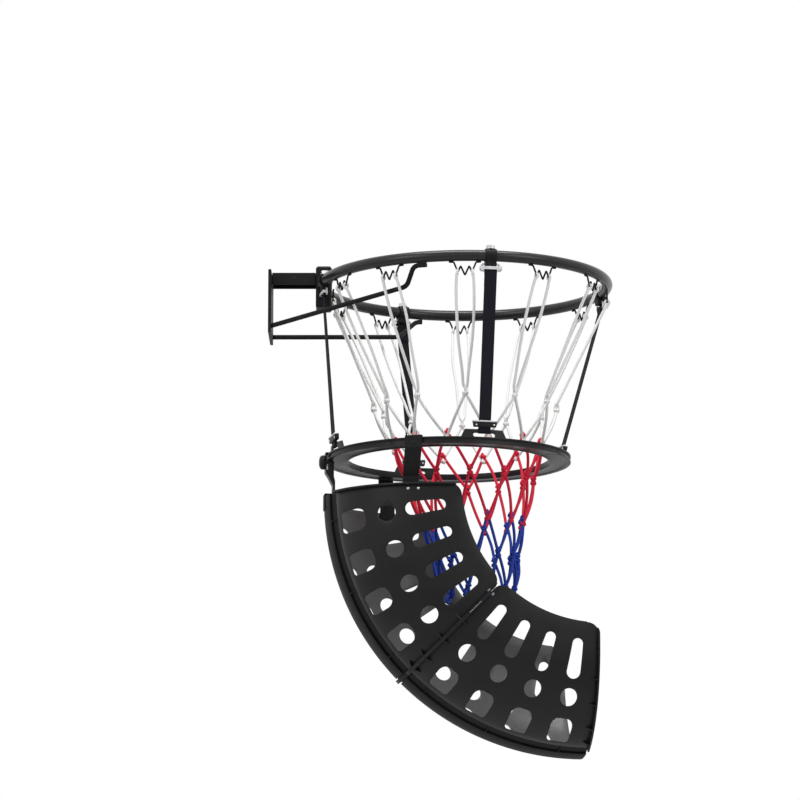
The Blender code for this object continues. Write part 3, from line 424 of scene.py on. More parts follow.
def from_solid(node, edge, segments=3):
    """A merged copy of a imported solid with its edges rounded."""
    made = bpy.data.objects.new(f"{node}_moulded", frame["nodes"][node].data.copy())
    bpy.context.collection.objects.link(made)
    enter(made)
    bpy.ops.mesh.remove_doubles(threshold=SOLID_MERGE)
    bpy.ops.mesh.dissolve_limited(angle_limit=math.radians(1))
    rest()
    soften(made, edge, segments, 30, harden=True)
    return made


def fit(piece, body, slot, finish, *nodes):
    """Give a piece its finish, the body it moves with and the solids it stands for."""
    rest()
    piece.data.materials.clear()
    piece.data.materials.append(finish)
    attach(piece, body)
    if nodes:
        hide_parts(*nodes)


# Finishes


class Value:
    """A material's socket with Python arithmetic, which adds Math nodes."""

    def __init__(self, finish, socket):
        self.finish = finish
        self.socket = socket

    def maths(self, operation, first, second):
        """One Math node."""
        return self.finish.add("ShaderNodeMath", {0: first, 1: second}, operation=operation)

    def __add__(self, other):
        return self.maths("ADD", self, other)

    def __sub__(self, other):
        return self.maths("SUBTRACT", self, other)

    def __rsub__(self, other):
        return self.maths("SUBTRACT", other, self)

    def __mul__(self, other):
        return self.maths("MULTIPLY", self, other)

    __radd__ = __add__
    __rmul__ = __mul__

    def at_least(self, other):
        """The greater of two values."""
        return self.maths("MAXIMUM", self, other)

    def wave(self):
        """Its sine, brought to 0..1."""
        return self.maths("SINE", self, 0.0) * 0.5 + 0.5


def rgba(value):
    """A colour with its alpha, or any other value as it is."""
    return (*value, 1) if isinstance(value, tuple) else value


class Finish:
    """A procedural material built round one Principled shader."""

    def __init__(self, name):
        self.material = bpy.data.materials.new(name)
        self.material.use_nodes = True
        self.tree = self.material.node_tree
        self.shader = self.tree.nodes["Principled BSDF"]

    def add(self, kind, sockets=None, output=0, **settings):
        """A node with its settings, and the values or links of its sockets."""
        node = self.tree.nodes.new(kind)
        for name, value in settings.items():
            setattr(node, name, value)
        for name, value in (sockets or {}).items():
            self.put(node.inputs[name], value)
        return Value(self, node.outputs[output])

    def put(self, socket, value):
        """Link a value to a socket, or type a number or colour into it."""
        if isinstance(value, Value):
            self.tree.links.new(value.socket, socket)
        else:
            socket.default_value = value

    def place(self, kind="Object"):
        """Where a point lies on the piece, in its object's space or its UV map."""
        return self.add("ShaderNodeTexCoord", output=kind)

    def noise(self, scale, detail=4.0, stretch=None):
        """Noise in object space, from 0 to 1."""
        where = self.place()
        if stretch:
            where = self.add("ShaderNodeMapping", {"Vector": where, "Scale": stretch})
        return self.add(
            "ShaderNodeTexNoise", {"Vector": where, "Scale": scale, "Detail": detail}, "Fac")

    def spread(self, value, low, high, from_low=0.35, from_high=0.65):
        """A value brought from one range to another, by default from noise's usual one."""
        return self.add("ShaderNodeMapRange", {
            "Value": value, "From Min": from_low, "From Max": from_high,
            "To Min": low, "To Max": high})

    def blend(self, share, first, second):
        """Two colours mixed."""
        return self.add(
            "ShaderNodeMix", {0: share, 6: rgba(first), 7: rgba(second)}, 2, data_type="RGBA")

    def bump(self, height, depth, strength):
        """A relief of a depth in metres."""
        return self.add(
            "ShaderNodeBump", {"Height": height, "Distance": depth, "Strength": strength})

    def across_and_along(self):
        """The two numbers of the piece's UV map."""
        split = self.add("ShaderNodeSeparateXYZ", {"Vector": self.place("UV")})
        outputs = split.socket.node.outputs
        return Value(self, outputs[0]), Value(self, outputs[1])

    def set(self, **sockets):
        """The material, with its shader's sockets set."""
        names = {"color": "Base Color", "specular": "Specular IOR Level"}
        for name, value in sockets.items():
            self.put(self.shader.inputs[names.get(name, name.title())], rgba(value))
        return self.material


# How far apart the webbing's ribs and yarns lie, and how the cord's yarns wind
RIB_PITCH = 0.0015
YARN_PITCH = 0.0009
YARNS = 4
BRAID_PITCH = 0.0042

made_finishes = {}


def once(build):
    """Keep each finish after it is first made."""
    def kept(*options):
        key = (build.__name__, *options)
        if key not in made_finishes:
            made_finishes[key] = build(*options)
        return made_finishes[key]
    return kept


def chosen(name):
    """A colour from the sidebar."""
    return tuple(getattr(bpy.context.scene.finish_settings, name))


def shade_of(colour, times):
    """A colour made lighter or darker."""
    return tuple(min(1.0, part * times) for part in colour)


@once
def painted_steel():
    """Powder coat: a fine orange peel, faint dust and a few rubbed places."""
    colour = chosen("paint")
    finish = Finish("painted_steel")
    peel = finish.noise(900.0, 3.0)
    dust = finish.noise(14.0, 6.0)
    rubbed = finish.spread(finish.noise(60.0, 8.0), 0.0, 0.35, 0.62, 0.72)
    tone = finish.blend(finish.spread(dust, 0.0, 1.0), colour, shade_of(colour, 1.8))
    return finish.set(
        color=finish.blend(rubbed, tone, shade_of(colour, 4.0)),
        roughness=finish.spread(dust, 0.24, 0.32) + rubbed * 0.2,
        specular=0.32,
        normal=finish.bump(peel, 0.00008, 0.5))


@once
def dull_steel():
    """Thin matt coat on the small steel parts, worn a little at random."""
    colour = chosen("paint")
    finish = Finish("dull_steel")
    peel = finish.noise(700.0, 4.0)
    rubbed = finish.spread(finish.noise(80.0, 8.0), 0.0, 0.4, 0.60, 0.72)
    return finish.set(
        color=finish.blend(rubbed, colour, shade_of(colour, 4.0)),
        roughness=finish.spread(peel, 0.46, 0.60),
        specular=0.13,
        normal=finish.bump(peel, 0.00010, 0.6))


@once
def moulded_plastic():
    """Injection-moulded plastic: a fine grain, flow marks and slightly uneven gloss."""
    colour = chosen("plastic")
    finish = Finish("moulded_plastic")
    grain = finish.noise(2200.0, 2.0)
    flow = finish.noise(9.0, 5.0, (1.0, 1.0, 2.5))
    scuff = finish.spread(finish.noise(45.0, 9.0), 0.0, 0.3, 0.60, 0.75)
    tone = finish.blend(
        finish.spread(flow, 0.0, 1.0), shade_of(colour, 0.8), shade_of(colour, 1.6))
    return finish.set(
        color=finish.blend(scuff, tone, shade_of(colour, 3.0)),
        roughness=finish.spread(flow, 0.34, 0.44) + grain * 0.06,
        specular=0.22,
        normal=finish.bump(grain, 0.00005, 0.5))


@once
def polished_lit_plastic():
    """Plastic off a polished mould face, scuffed by the ball: the chute's inside, its colour
    painted lighter than the outside's for the light that falls into the trough.
    """
    colour = chosen("plastic")
    finish = Finish("polished_lit_plastic")
    flow = finish.noise(9.0, 5.0, (1.0, 1.0, 2.5))
    scuff = finish.spread(finish.noise(70.0, 9.0), 0.0, 0.5, 0.58, 0.75)
    # Painted light: the inside's colour runs from 2.5 to 4.5 times the plastic's, lighter than the
    # outside's, for the light that falls into the trough. The scuffs are real wear.
    tone = finish.blend(
        finish.spread(flow, 0.0, 1.0), shade_of(colour, 2.5), shade_of(colour, 4.5))
    return finish.set(
        color=finish.blend(scuff, tone, shade_of(colour, 7.0)),
        roughness=finish.spread(flow, 0.32, 0.42) + scuff * 0.1,
        specular=0.75,
        normal=finish.bump(flow, 0.0004, 0.3))


@once
def dull_plastic():
    """The same plastic off a coarser mould face, as on the chute's back."""
    colour = chosen("plastic")
    finish = Finish("dull_plastic")
    grain = finish.noise(1400.0, 3.0)
    flow = finish.noise(7.0, 5.0)
    scuff = finish.spread(finish.noise(38.0, 9.0), 0.0, 0.3, 0.60, 0.75)
    tone = finish.blend(finish.spread(flow, 0.0, 1.0), colour, shade_of(colour, 2.0))
    return finish.set(
        color=finish.blend(scuff, tone, shade_of(colour, 3.5)),
        roughness=finish.spread(flow, 0.50, 0.62) + grain * 0.08,
        specular=0.07,
        normal=finish.bump(grain, 0.00008, 0.6))


@once
def zinc(name="zinc", share=1.0):
    """Zinc plate with fine brushing and dull spots; a share below 1 darkens its colour as painted
    shade.
    """
    colour = shade_of(chosen("silver"), share)
    finish = Finish(name)
    brushed = finish.noise(700.0, 4.0, (1.0, 1.0, 8.0))
    spots = finish.noise(160.0, 5.0)
    return finish.set(
        color=finish.blend(finish.spread(spots, 0.0, 0.6), colour, shade_of(colour, 0.6)),
        metallic=1.0,
        roughness=finish.spread(brushed, 0.26, 0.40),
        normal=finish.bump(brushed, 0.00004, 0.4))


@once
def webbing():
    """Woven band: cross ribs and yarns, with painted shade in the hollows between them and painted
    highlight on their ridges. The UV map is in metres, across and along the band.
    """
    colour = chosen("webbing")
    finish = Finish("webbing")
    across, along = finish.across_and_along()
    ribs = (along * (2 * math.pi / RIB_PITCH)).wave()
    yarns = (across * (2 * math.pi / YARN_PITCH)).wave()
    weave = ribs * (yarns * 0.5 + 0.5)
    fuzz = finish.noise(1500.0, 3.0)
    # Painted shade and highlight: the colour follows the weave's relief, darker in its hollows and
    # lighter on its ridges.
    tone = finish.blend(weave, shade_of(colour, 0.45), shade_of(colour, 2.2))
    return finish.set(
        color=finish.blend(fuzz * 0.4, tone, shade_of(colour, 1.8)),
        roughness=finish.spread(fuzz, 0.66, 0.86),
        specular=0.15,
        normal=finish.bump(weave + fuzz * 0.3, 0.00025, 0.8))


@once
def braided_cord(colour_name):
    """Braided cord: two families of yarns that cross, a little fuzz, and painted shade in the
    hollows between the yarns.
    """
    colour = chosen(colour_name)
    finish = Finish(colour_name)
    around_it, along = finish.across_and_along()
    left = (around_it * (2 * math.pi * YARNS) + along * (2 * math.pi / BRAID_PITCH)).wave()
    right = (around_it * (2 * math.pi * YARNS) - along * (2 * math.pi / BRAID_PITCH)).wave()
    braid = left.at_least(right)
    fuzz = finish.noise(1200.0, 4.0)
    # Painted shade: the colour darkens to 0.62 of the cord's where the braid's relief is low, in
    # its hollows.
    tone = finish.blend(braid, shade_of(colour, 0.62), shade_of(colour, 1.08))
    return finish.set(
        color=finish.blend(fuzz * 0.3, tone, shade_of(colour, 0.85)),
        roughness=finish.spread(fuzz, 0.7, 0.9),
        specular=0.25,
        normal=finish.bump(braid + fuzz * 0.3, 0.0004, 0.8))


# Rim and bracket


# Each brace rod's side, its elbow, and the angles round the rim at which it meets it and ends
BRACES = (
    ("brace_near", -1, (-0.0963, -0.191, -0.0409), 111.3, 106.1),
    ("brace_far", 1, (-0.1095, 0.1715, -0.0497), 109.7, 107.4),
)


def hook_radius(index):
    """How far out a net hook sits: the yoke pushes its own inwards."""
    return YOKE_HOOK_RADIUS if index == YOKE_HOOK else RIM_RADIUS


def at_rim(radius, angle):
    """The place of a piece that stands at an angle round the rim and faces outwards."""
    return RIM_FRAME @ Matrix.Translation(around(radius, angle)) @ rotation(angle)


class RETURNNET_OT_bracket(bpy.types.Operator):
    """Plate, arm, yoke and brace rods"""
    bl_idname = "returnnet.bracket"
    bl_label = "Bracket"

    def execute(self, context):
        steel = dull_steel()
        for node in ("mounting_plate", "rear_arm", "rim_yoke"):
            fit(from_solid(node, 0.0008), "hoop", "black_steel", steel, node)
        for name, side, elbow, touch, end in BRACES:
            points = (
                (0.0053 - RIM_CENTRE.x, side * 0.0469, -0.0753),
                elbow,
                around(RIM_RADIUS, side * touch, BRACE_HEIGHT),
                around(RIM_RADIUS, side * end, BRACE_HEIGHT),
            )
            rod = wire(name + "_rod", points, BRACE_RADIUS, BRACE_BEND, resolution=4)
            fit(carry(rod, RIM_FRAME), "hoop", "black_steel", steel, name)
        return {"FINISHED"}


class RETURNNET_OT_rim(bpy.types.Operator):
    """Rim tube and its wire net hooks"""
    bl_idname = "returnnet.rim"
    bl_label = "Rim and hooks"

    def execute(self, context):
        rest()
        bpy.ops.mesh.primitive_torus_add(
            location=RIM_CENTRE, major_radius=RIM_RADIUS, minor_radius=TUBE_RADIUS,
            major_segments=160, minor_segments=28)
        tube = started("rim_tube_round")
        rest()
        smooth(tube)
        fit(tube, "hoop", "black_steel", painted_steel(), "rim_tube")
        hook = self.hook()
        for index, angle in enumerate(HOOK_ANGLES):
            node = f"net_hook_{index + 1:02d}"
            made = copy_of(hook, at_rim(hook_radius(index), angle), node + "_wire")
            fit(made, "hoop", "black_steel", dull_steel(), node)
        discard(hook)
        return {"FINISHED"}

    def hook(self):
        """A wire arch under the tube, with a loop for the cord at its middle."""
        under = -TUBE_RADIUS - 0.0016
        half = (
            (self.bow(0.0255), 0.0255, under + 0.0004),
            (self.bow(0.0178), 0.0178, under),
            (0, 0.0112, -0.0268),
            (0, 0.0068, -0.0170),
            (0, 0, -0.0318),
        )
        points = list(half) + [(x, -y, z) for x, y, z in half[-2::-1]]
        return wire("hook", points, LOOP_WIRE, 0.0016)

    def bow(self, along):
        """How far the tube curves inwards at a distance along it."""
        return -along * along / 2 / RIM_RADIUS


class RETURNNET_OT_clamps(bpy.types.Operator):
    """Rim clamps, their bolts and the wire loops of the straps"""
    bl_idname = "returnnet.clamps"
    bl_label = "Clamps and loops"

    def execute(self, context):
        models = (
            (self.clamp(), "clamp_band", "rim_clamp", "black_steel", dull_steel()),
            (self.bolt(), "clamp_hex", "clamp_bolt", "silver_steel", zinc()),
            (self.loop(), "loop_wire", "strap_loop", "silver_steel", zinc()))
        for mark, angle in enumerate(CLAMP_ANGLES, 1):
            for model, name, node, slot, finish in models:
                made = copy_of(model, at_rim(RIM_RADIUS, angle), f"{name}_{mark}")
                fit(made, "hoop", slot, finish, f"{node}_{mark}")
        discard(*(model for model, *_ in models))
        return {"FINISHED"}

    def clamp(self):
        """A band round the tube with a neck below it, bored for the tube and the loop."""
        half = CLAMP_WIDTH / 2
        outline = [(-0.0062, -0.018)]
        outline += [(x, min(z, CLAMP_TOP)) for x, z in arc((0, 0), 0.0116, 237, -57, 28)]
        outline += [(0.0062, -0.018)]
        clamp = plate("clamp", [(x, -half, z) for x, z in outline], (0, 2 * half, 0))
        for radius, height in ((TUBE_RADIUS + GAP, 0.0), (LOOP_WIRE + GAP, LOOP_TOP)):
            drill(clamp, cylinder("bore", (0, 0, height), radius, 4 * half, lean=90))
        soften(clamp, 0.0009, 3, 50)
        smooth(clamp)
        return clamp

    def bolt(self):
        """A hex head on a washer."""
        base = CLAMP_TOP + GAP
        seat = base + 0.0008
        height = 0.0052
        washer = turned("washer", ((0, base), (0.0080, base), (0.0080, seat), (0, seat)))
        head = cylinder("head", (0, 0, seat + height / 2), 0.0070, height, sides=6)
        pick(head, lambda place: place.z > seat + 0.9 * height, "FACE")
        bpy.ops.mesh.inset(thickness=0.0010, depth=0.0)
        bpy.ops.transform.translate(value=(0, 0, -0.0006))
        rest()
        soften(head, 0.0004, 2)
        smooth(head)
        return joined("clamp_hex", [head, washer])

    def loop(self):
        """A wire loop that widens downwards, and the plate that keeps the strap on its bar."""
        top, bottom = 0.0135, 0.0175
        loop = wire("loop", (
            (0, -top, LOOP_TOP), (0, top, LOOP_TOP), (0, bottom, LOOP_BOTTOM),
            (0, -bottom, LOOP_BOTTOM)), LOOP_WIRE, 0.0035, closed=True, resolution=4)
        foot = LOOP_BOTTOM + 0.0012
        back, front, bend = -0.0008, 0.0066, 0.0052
        end, inside = 0.0180, 0.0162
        keeper = plate("keeper", [(x, y, foot) for x, y in (
            (back, -end), (front, -end), (front, end), (back, end),
            (back, inside), (bend, inside), (bend, -inside), (back, -inside))], (0, 0, 0.0052))
        soften(keeper, 0.0004)
        return joined("loop", [loop, keeper])


# Straps


# The stitched fold's end below the loop bar, and the free tail's ends above the ring's middle
FOLD_END = 0.025
TAIL_START = 0.01505
TAIL_END = 0.0295
SLIDER_HEIGHT = 0.0215
STRAP_STEPS = 24


def strap_frame(index):
    """Loop bar, foot, swing, the way down, and across and out at each end, in the rim's frame."""
    clamp = CLAMP_ANGLES[index]
    ear = EAR_ANGLES[index]
    centre = RING_CENTRE - RIM_CENTRE
    bar = around(RIM_RADIUS, clamp, LOOP_BOTTOM)
    foot = centre + around(EAR_OUTER + GAP + STRAP_THICK / 2, ear, EAR_HEIGHT)
    swing = LOOP_WIRE + GAP + STRAP_THICK / 2
    out = around(1, clamp)
    down = (foot - bar - out * swing).normalized()
    along_bar = around(1, clamp + 90)
    top = (along_bar, down.cross(along_bar).normalized())
    across = around(1, ear + 90)
    across = (across - down * across.dot(down)).normalized()
    return bar, foot, swing, down, (top, (across, down.cross(across).normalized()))


def strap_rows(index):
    """Centres and width directions from the stitched end to the free tail."""
    bar, foot, swing, down, (top, base) = strap_frame(index)
    across, out = top
    plumb = out.cross(across)
    layer = STRAP_THICK + GAP
    start = bar + out * swing
    ear = EAR_ANGLES[index]
    centre = RING_CENTRE - RIM_CENTRE
    rows = [
        (start + down * reach - out * layer, across)
        for reach in (FOLD_END, 0.019, 0.013, 0.008)]
    for turn in range(-90, 91, 15):
        angle = math.radians(turn)
        loose = plumb * math.cos(angle) * 0.0026
        rows.append((
            bar + (out * math.sin(angle) + plumb * math.cos(angle)) * swing + loose, across))
    upper = (start + down * FOLD_END, across)
    across, out = base
    rise = -down / -down.z
    lower = (foot + rise * (TAIL_END - EAR_HEIGHT), across)
    for step in range(STRAP_STEPS + 1):
        share = step / STRAP_STEPS
        rows.append((
            upper[0].lerp(lower[0], share), upper[1].lerp(lower[1], share).normalized()))
    level = around(1, ear + 90)
    half = STRAP_THICK / 2
    outside = EAR_OUTER + GAP + half
    inside = EAR_OUTER - EAR_THICK - 0.0008 - half
    under = EAR_SLOT_TOP - GAP - half
    rows.append((foot + rise * (TAIL_START - EAR_HEIGHT), across))
    middle_of_slot = (outside + inside) / 2
    depth = (outside - inside) / 2
    rows.append((centre + around(outside, ear, EAR_HEIGHT), level))
    for turn in range(0, 181, 30):
        angle = math.radians(turn)
        rows.append((centre + around(
            middle_of_slot + depth * math.cos(angle), ear,
            under + 0.0012 - 0.0012 * math.sin(angle)), level))
    rows.append((centre + around(inside, ear, EAR_HEIGHT + half), level))
    rows += [
        (foot + rise * (height - EAR_HEIGHT) - out * layer, across)
        for height in (TAIL_START, TAIL_END)]
    return rows


def band(name, rows, width, thick, columns=6):
    """A woven band along its rows, with a UV map in metres."""
    mesh = bpy.data.meshes.new(name)
    shape = bmesh.new()
    layer = shape.loops.layers.uv.new("UVMap")
    grid = []
    along = 0.0
    for index, (centre, across) in enumerate(rows):
        if index:
            along += (centre - rows[index - 1][0]).length
        grid.append([
            (shape.verts.new(centre + across * width * (column / columns - 0.5)),
             (width * column / columns, along)) for column in range(columns + 1)])
    for upper, lower in zip(grid, grid[1:]):
        for column in range(columns):
            corners = (upper[column], lower[column], lower[column + 1], upper[column + 1])
            face = shape.faces.new([corner for corner, _ in corners])
            for loop, (_, spot) in zip(face.loops, corners):
                loop[layer].uv = spot
    shape.to_mesh(mesh)
    shape.free()
    piece = bpy.data.objects.new(name, mesh)
    bpy.context.collection.objects.link(piece)
    use(piece, "SOLIDIFY", thickness=thick, offset=0, use_even_offset=False)
    soften(piece, 0.00025, 1, 60)
    smooth(piece, 50)
    return piece


class RETURNNET_OT_straps(bpy.types.Operator):
    """Webbing straps, each threaded through its loop and its ear"""
    bl_idname = "returnnet.straps"
    bl_label = "Straps"

    def execute(self, context):
        width = context.scene.strap_settings.width
        for index in range(4):
            strap = band(f"webbing_{index + 1}", strap_rows(index), width, STRAP_THICK)
            fit(carry(strap, RIM_FRAME), "hoop", "black_webbing", webbing(), f"strap_{index + 1}")
        return {"FINISHED"}


class RETURNNET_OT_sliders(bpy.types.Operator):
    """Ladder sliders with their plated bars and studs"""
    bl_idname = "returnnet.sliders"
    bl_label = "Sliders"

    def execute(self, context):
        body = self.body()
        metal = self.metal()
        for index in range(4):
            mark = index + 1
            _, foot, _, down, (_, (across, out)) = strap_frame(index)
            rise = SLIDER_HEIGHT - EAR_HEIGHT
            centre = foot - down / -down.z * rise - out * (STRAP_THICK + GAP) / 2
            axes = Matrix((across, -down, across.cross(-down))).transposed().to_4x4()
            place = RIM_FRAME @ Matrix.Translation(centre) @ axes
            made = copy_of(body, place, f"slider_body_{mark}")
            fit(made, "hoop", "black_plastic", moulded_plastic(), f"strap_slider_{mark}")
            bar = copy_of(metal, place, f"slider_bar_{mark}")
            fit(bar, "hoop", "silver_steel", zinc())
        discard(body, metal)
        return {"FINISHED"}

    def body(self):
        """A tapered frame with grip ridges and a mouth for the two layers of webbing."""
        tall = 0.00525
        top = tall - 0.0012
        outline = ((-0.018, -tall), (0.018, -tall), (0.020, top), (-0.020, top))
        body = plate("slider", [(x, y, -0.0035) for x, y in outline], (0, 0, 0.007))
        soften(body, 0.0009, 3)
        drill(body, block("mouth", (0, 0, 0), (0.022, 0.03, 0.0037)))
        ridges = [body]
        for height in (-0.0028, -0.0006, 0.0016):
            for face in (-1, 1):
                ridge = block("ridge", (0, height, face * 0.0034), (0.021, 0.0009, 0.0008))
                soften(ridge, 0.00025)
                ridges.append(ridge)
        body = joined("slider", ridges)
        smooth(body)
        return body

    def metal(self):
        """The plated bar across the top and a stud at each end."""
        bar = wire("bar", ((-0.0195, 0.0046, 0), (0.0195, 0.0046, 0)), 0.00135, resolution=3)
        bars = [copy_of(bar, Matrix.Translation((0, 0, face * 0.0028))) for face in (-1, 1)]
        discard(bar)
        stud = turned("stud", (
            (0, 0.0012), (0.0009, 0.0010), (0.0015, 0.0005), (0.0017, 0), (0, 0)), 16)
        for side in (-1, 1):
            for face in (-1, 1):
                place = Matrix.Translation((side * 0.0148, -0.0012, face * 0.0035))
                bars.append(copy_of(stud, place @ rotation(0 if face > 0 else 180, "X")))
        discard(stud)
        return joined("slider_metal", bars)


# Lower ring


RING_RIBS = 8


def revolved(name, profile, angle, steps):
    """A closed (radius, height) outline swept about Z, centred on +X."""
    piece = drawn(name, [(radius, 0, height) for radius, height in profile], closed=True)
    spin_all(steps, angle)
    bpy.ops.mesh.remove_doubles(threshold=MERGE)
    bpy.ops.mesh.fill_holes(sides=0)
    close_up(piece)
    return carry(piece, rotation(angle / 2))


class RETURNNET_OT_ring(bpy.types.Operator):
    """The four quadrants of the track ring and their strap ears"""
    bl_idname = "returnnet.ring"
    bl_label = "Lower ring"

    def execute(self, context):
        quadrant = self.quadrant()
        for mark, angle in enumerate(EAR_ANGLES, 1):
            made = copy_of(quadrant, RING_FRAME @ rotation(angle), f"track_quadrant_{mark}")
            fit(made, "hoop", "black_plastic", moulded_plastic(), f"ring_segment_{mark}")
        discard(quadrant)
        return {"FINISHED"}

    def quadrant(self):
        """A channel with a flanged outer wall, ribs inside it and an ear at its middle."""
        inner, outer = 0.165, 0.200
        profile = (
            (inner, -0.0107), (0.169, -0.0107), (0.1695, -0.0097), (0.1925, -0.0097),
            (0.193, -0.0107), (outer, -0.0107), (outer, -0.0092), (0.197, -0.0092),
            (0.197, -0.0025), (outer, -0.0025), (outer, 0), (0.186, 0), (0.186, -0.0082),
            (0.168, -0.0082), (0.168, -0.001), (inner, -0.001))
        joint = math.degrees(0.0006 / outer)
        quadrant = revolved("quadrant", profile, 90 - joint, 30)
        ear = self.ear()
        use(quadrant, "BOOLEAN", operation="UNION", solver="EXACT", object=ear)
        discard(ear)
        soften(quadrant, 0.0005, angle=50)
        smooth(quadrant)
        ribs = [quadrant]
        for step in range(RING_RIBS):
            rib = block("rib", (0.177, 0, -0.0055), (0.0182, 0.0012, 0.0056))
            soften(rib, 0.0002, 1)
            ribs.append(carry(rib, rotation(-39.4 + 90 / RING_RIBS * step)))
        return joined("quadrant", ribs)

    def ear(self):
        """A curved plate with slanted ends and a slot for the strap."""
        inner = EAR_OUTER - EAR_THICK
        ear = revolved("ear", (
            (inner, -0.003), (EAR_OUTER, -0.003), (EAR_OUTER, EAR_HEIGHT), (inner, EAR_HEIGHT)),
            24.6, 24)
        for side in (-1, 1):
            slant = Vector((0, side * 0.0133, 0.0065)).normalized()
            enter(ear)
            bpy.ops.mesh.bisect(
                plane_co=(EAR_OUTER, side * 0.038, 0), plane_no=slant,
                use_fill=True, clear_outer=True)
        close_up(ear)
        soften(ear, 0.0012, 3, 50)
        half = 0.0185
        sill = 0.0005
        middle_height = (sill + EAR_SLOT_TOP) / 2
        end = (EAR_SLOT_TOP - sill) / 2 - 0.0004
        outline = arc((half - end, middle_height), end, 90, -90, 8)
        outline += arc((end - half, middle_height), end, -90, -270, 8)
        drill(ear, plate("slot", [(inner - 0.006, y, z) for y, z in outline], (0.018, 0, 0)))
        return ear


# Chute


def bend_turn(angle):
    """A turn about the chute's bend axis, from its top towards its exit."""
    pivot = Matrix.Translation((BEND_FORWARD, 0, -CHUTE_DROP))
    return pivot @ rotation(-angle, "Y") @ pivot.inverted()


def section(first, last, steps, grow=0.0):
    """Points of the round section at the top of the chute, from one crease angle to another."""
    points = []
    for step in range(steps + 1):
        turn = math.radians(first + (last - first) * step / steps)
        points.append(Vector((
            WALL_CENTRE - (HALF_WIDTH + grow) * math.cos(turn),
            (HALF_WIDTH + grow) * math.sin(turn), -CHUTE_DROP)))
    return points


def free_edge(side, grow=0.0):
    """The end of the section at the chute's open side."""
    return Vector((BEND_FORWARD - FREE_REACH, side * (HALF_WIDTH + grow), -CHUTE_DROP))


def skin(name, points, first, last, steps, wall):
    """A line of the section swept along the bend and thickened inwards."""
    piece = drawn(name, points)
    spin_all(steps, last - first, (BEND_FORWARD, 0, -CHUTE_DROP), (0, 1, 0))
    bpy.ops.mesh.remove_doubles(threshold=MERGE)
    face_outwards(piece)
    rest()
    carry(piece, bend_turn(first))
    use(piece, "SOLIDIFY", thickness=wall, offset=-1, use_even_offset=True)
    return piece


def from_middle(spot):
    """The way to a spot from the chute's middle line, in the chute's frame."""
    reach = Vector((spot.x - BEND_FORWARD, 0, spot.z + CHUTE_DROP))
    return spot - (Vector((BEND_FORWARD, 0, -CHUTE_DROP)) + reach.normalized() * MIDDLE_REACH)


def face_outwards(piece):
    """In edit mode, turn an open skin's faces away from the chute's middle line."""
    bpy.ops.mesh.normals_make_consistent(inside=False)
    mesh = bmesh.from_edit_mesh(piece.data)
    mesh.normal_update()
    score = 0.0
    for face in mesh.faces:
        score += face.normal.dot(from_middle(face.calc_center_median())) * face.calc_area()
    if score < 0:
        bpy.ops.mesh.select_all(action="SELECT")
        bpy.ops.mesh.flip_normals()


def line_inside(piece):
    """Give the faces that look into the chute the polished finish, whose colour is painted lighter
    for the light that falls inside.
    """
    piece.data.materials.append(polished_lit_plastic())
    into = CHUTE_FRAME.inverted()
    for face in piece.data.polygons:
        outward = from_middle(into @ face.center).normalized()
        if (into.to_3x3() @ face.normal).dot(outward) < -0.6:
            face.material_index = 1


def flange(name, outer, inner, angle, lower_side):
    """A flat plate across the chute between two lines of its section, at a plane of its bend."""
    sense = -1 if lower_side else 1
    shift = Vector((0, 0, sense * GAP / 2))
    points = [point + shift for point in outer] + [point + shift for point in reversed(inner)]
    piece = plate(name, points, (0, 0, sense * CHUTE_WALL))
    return carry(piece, bend_turn(angle))


def prism(name, outline, angle, half=HALF_WIDTH + 0.03):
    """A (reach, along) outline at a station, made a prism right across the chute."""
    points = [(BEND_FORWARD - reach, -half, -CHUTE_DROP - along) for reach, along in outline]
    return carry(plate(name, points, (0, 2 * half, 0)), bend_turn(angle))


def hole_outlines():
    """Slot, round hole and arched square hole, as (reach, along)."""
    slot = arc((0.2555, 0), 0.0085, 90, 270, 10) + arc((0.300, 0), 0.011, -90, 90, 10)
    circle = arc((0.339, 0), 0.0135, 0, 348, 29)
    square = arc((0.398, 0.0125), 0.005, 0, 90, 4) + arc((0.3825, 0.0055), 0.012, 90, 180, 8)
    square += arc((0.3825, -0.0055), 0.012, 180, 270, 8) + arc((0.398, -0.0125), 0.005, 270, 360, 4)
    return slot, circle, square


def corner_cutter(angle, away):
    """What rounds the free corner at one end."""
    radius = 0.020
    past = 0.004
    start = FREE_REACH - past
    outline = [(start, -away * past), (FREE_REACH + radius, -away * past)]
    for step in range(9):
        turn = math.radians(90 * step / 8)
        outline.append((
            FREE_REACH + radius * (1 - math.sin(turn)), away * radius * (1 - math.cos(turn))))
    outline.append((start, away * radius))
    return prism("corner", outline, angle)


def gusset(section_angle, side, angle, away):
    """A small triangular web between a flange and the wall."""
    thick, out_reach, along_reach = 0.0018, 0.0085, 0.0125
    turn = math.radians(section_angle)
    out = Vector((-math.cos(turn), side * math.sin(turn), 0))
    spot = Vector((WALL_CENTRE, 0, -CHUTE_DROP)) + out * (HALF_WIDTH - 0.001)
    across = Vector((0, 0, 1)).cross(out)
    down = Vector((0, 0, -away))
    foot = spot + down * CHUTE_WALL - across * (thick / 2)
    piece = plate(
        "web", (foot, foot + out * out_reach, foot + down * along_reach), across * thick)
    soften(piece, 0.0002, 1)
    return carry(piece, bend_turn(angle))


SEGMENTS = (
    ("upper", 0.0, 45.0, HOLE_STATIONS),
    ("lower", 45.0, 90.0, tuple(90 - station for station in HOLE_STATIONS)),
)
SIDES = (("near", -1), ("far", 1))
FLANGE_PROUD = 0.008
FLANGE_SUNK = 0.0015
BOLT_REACH = 0.2467
SCREW_PLACE = (-0.1908, 0, -0.080)


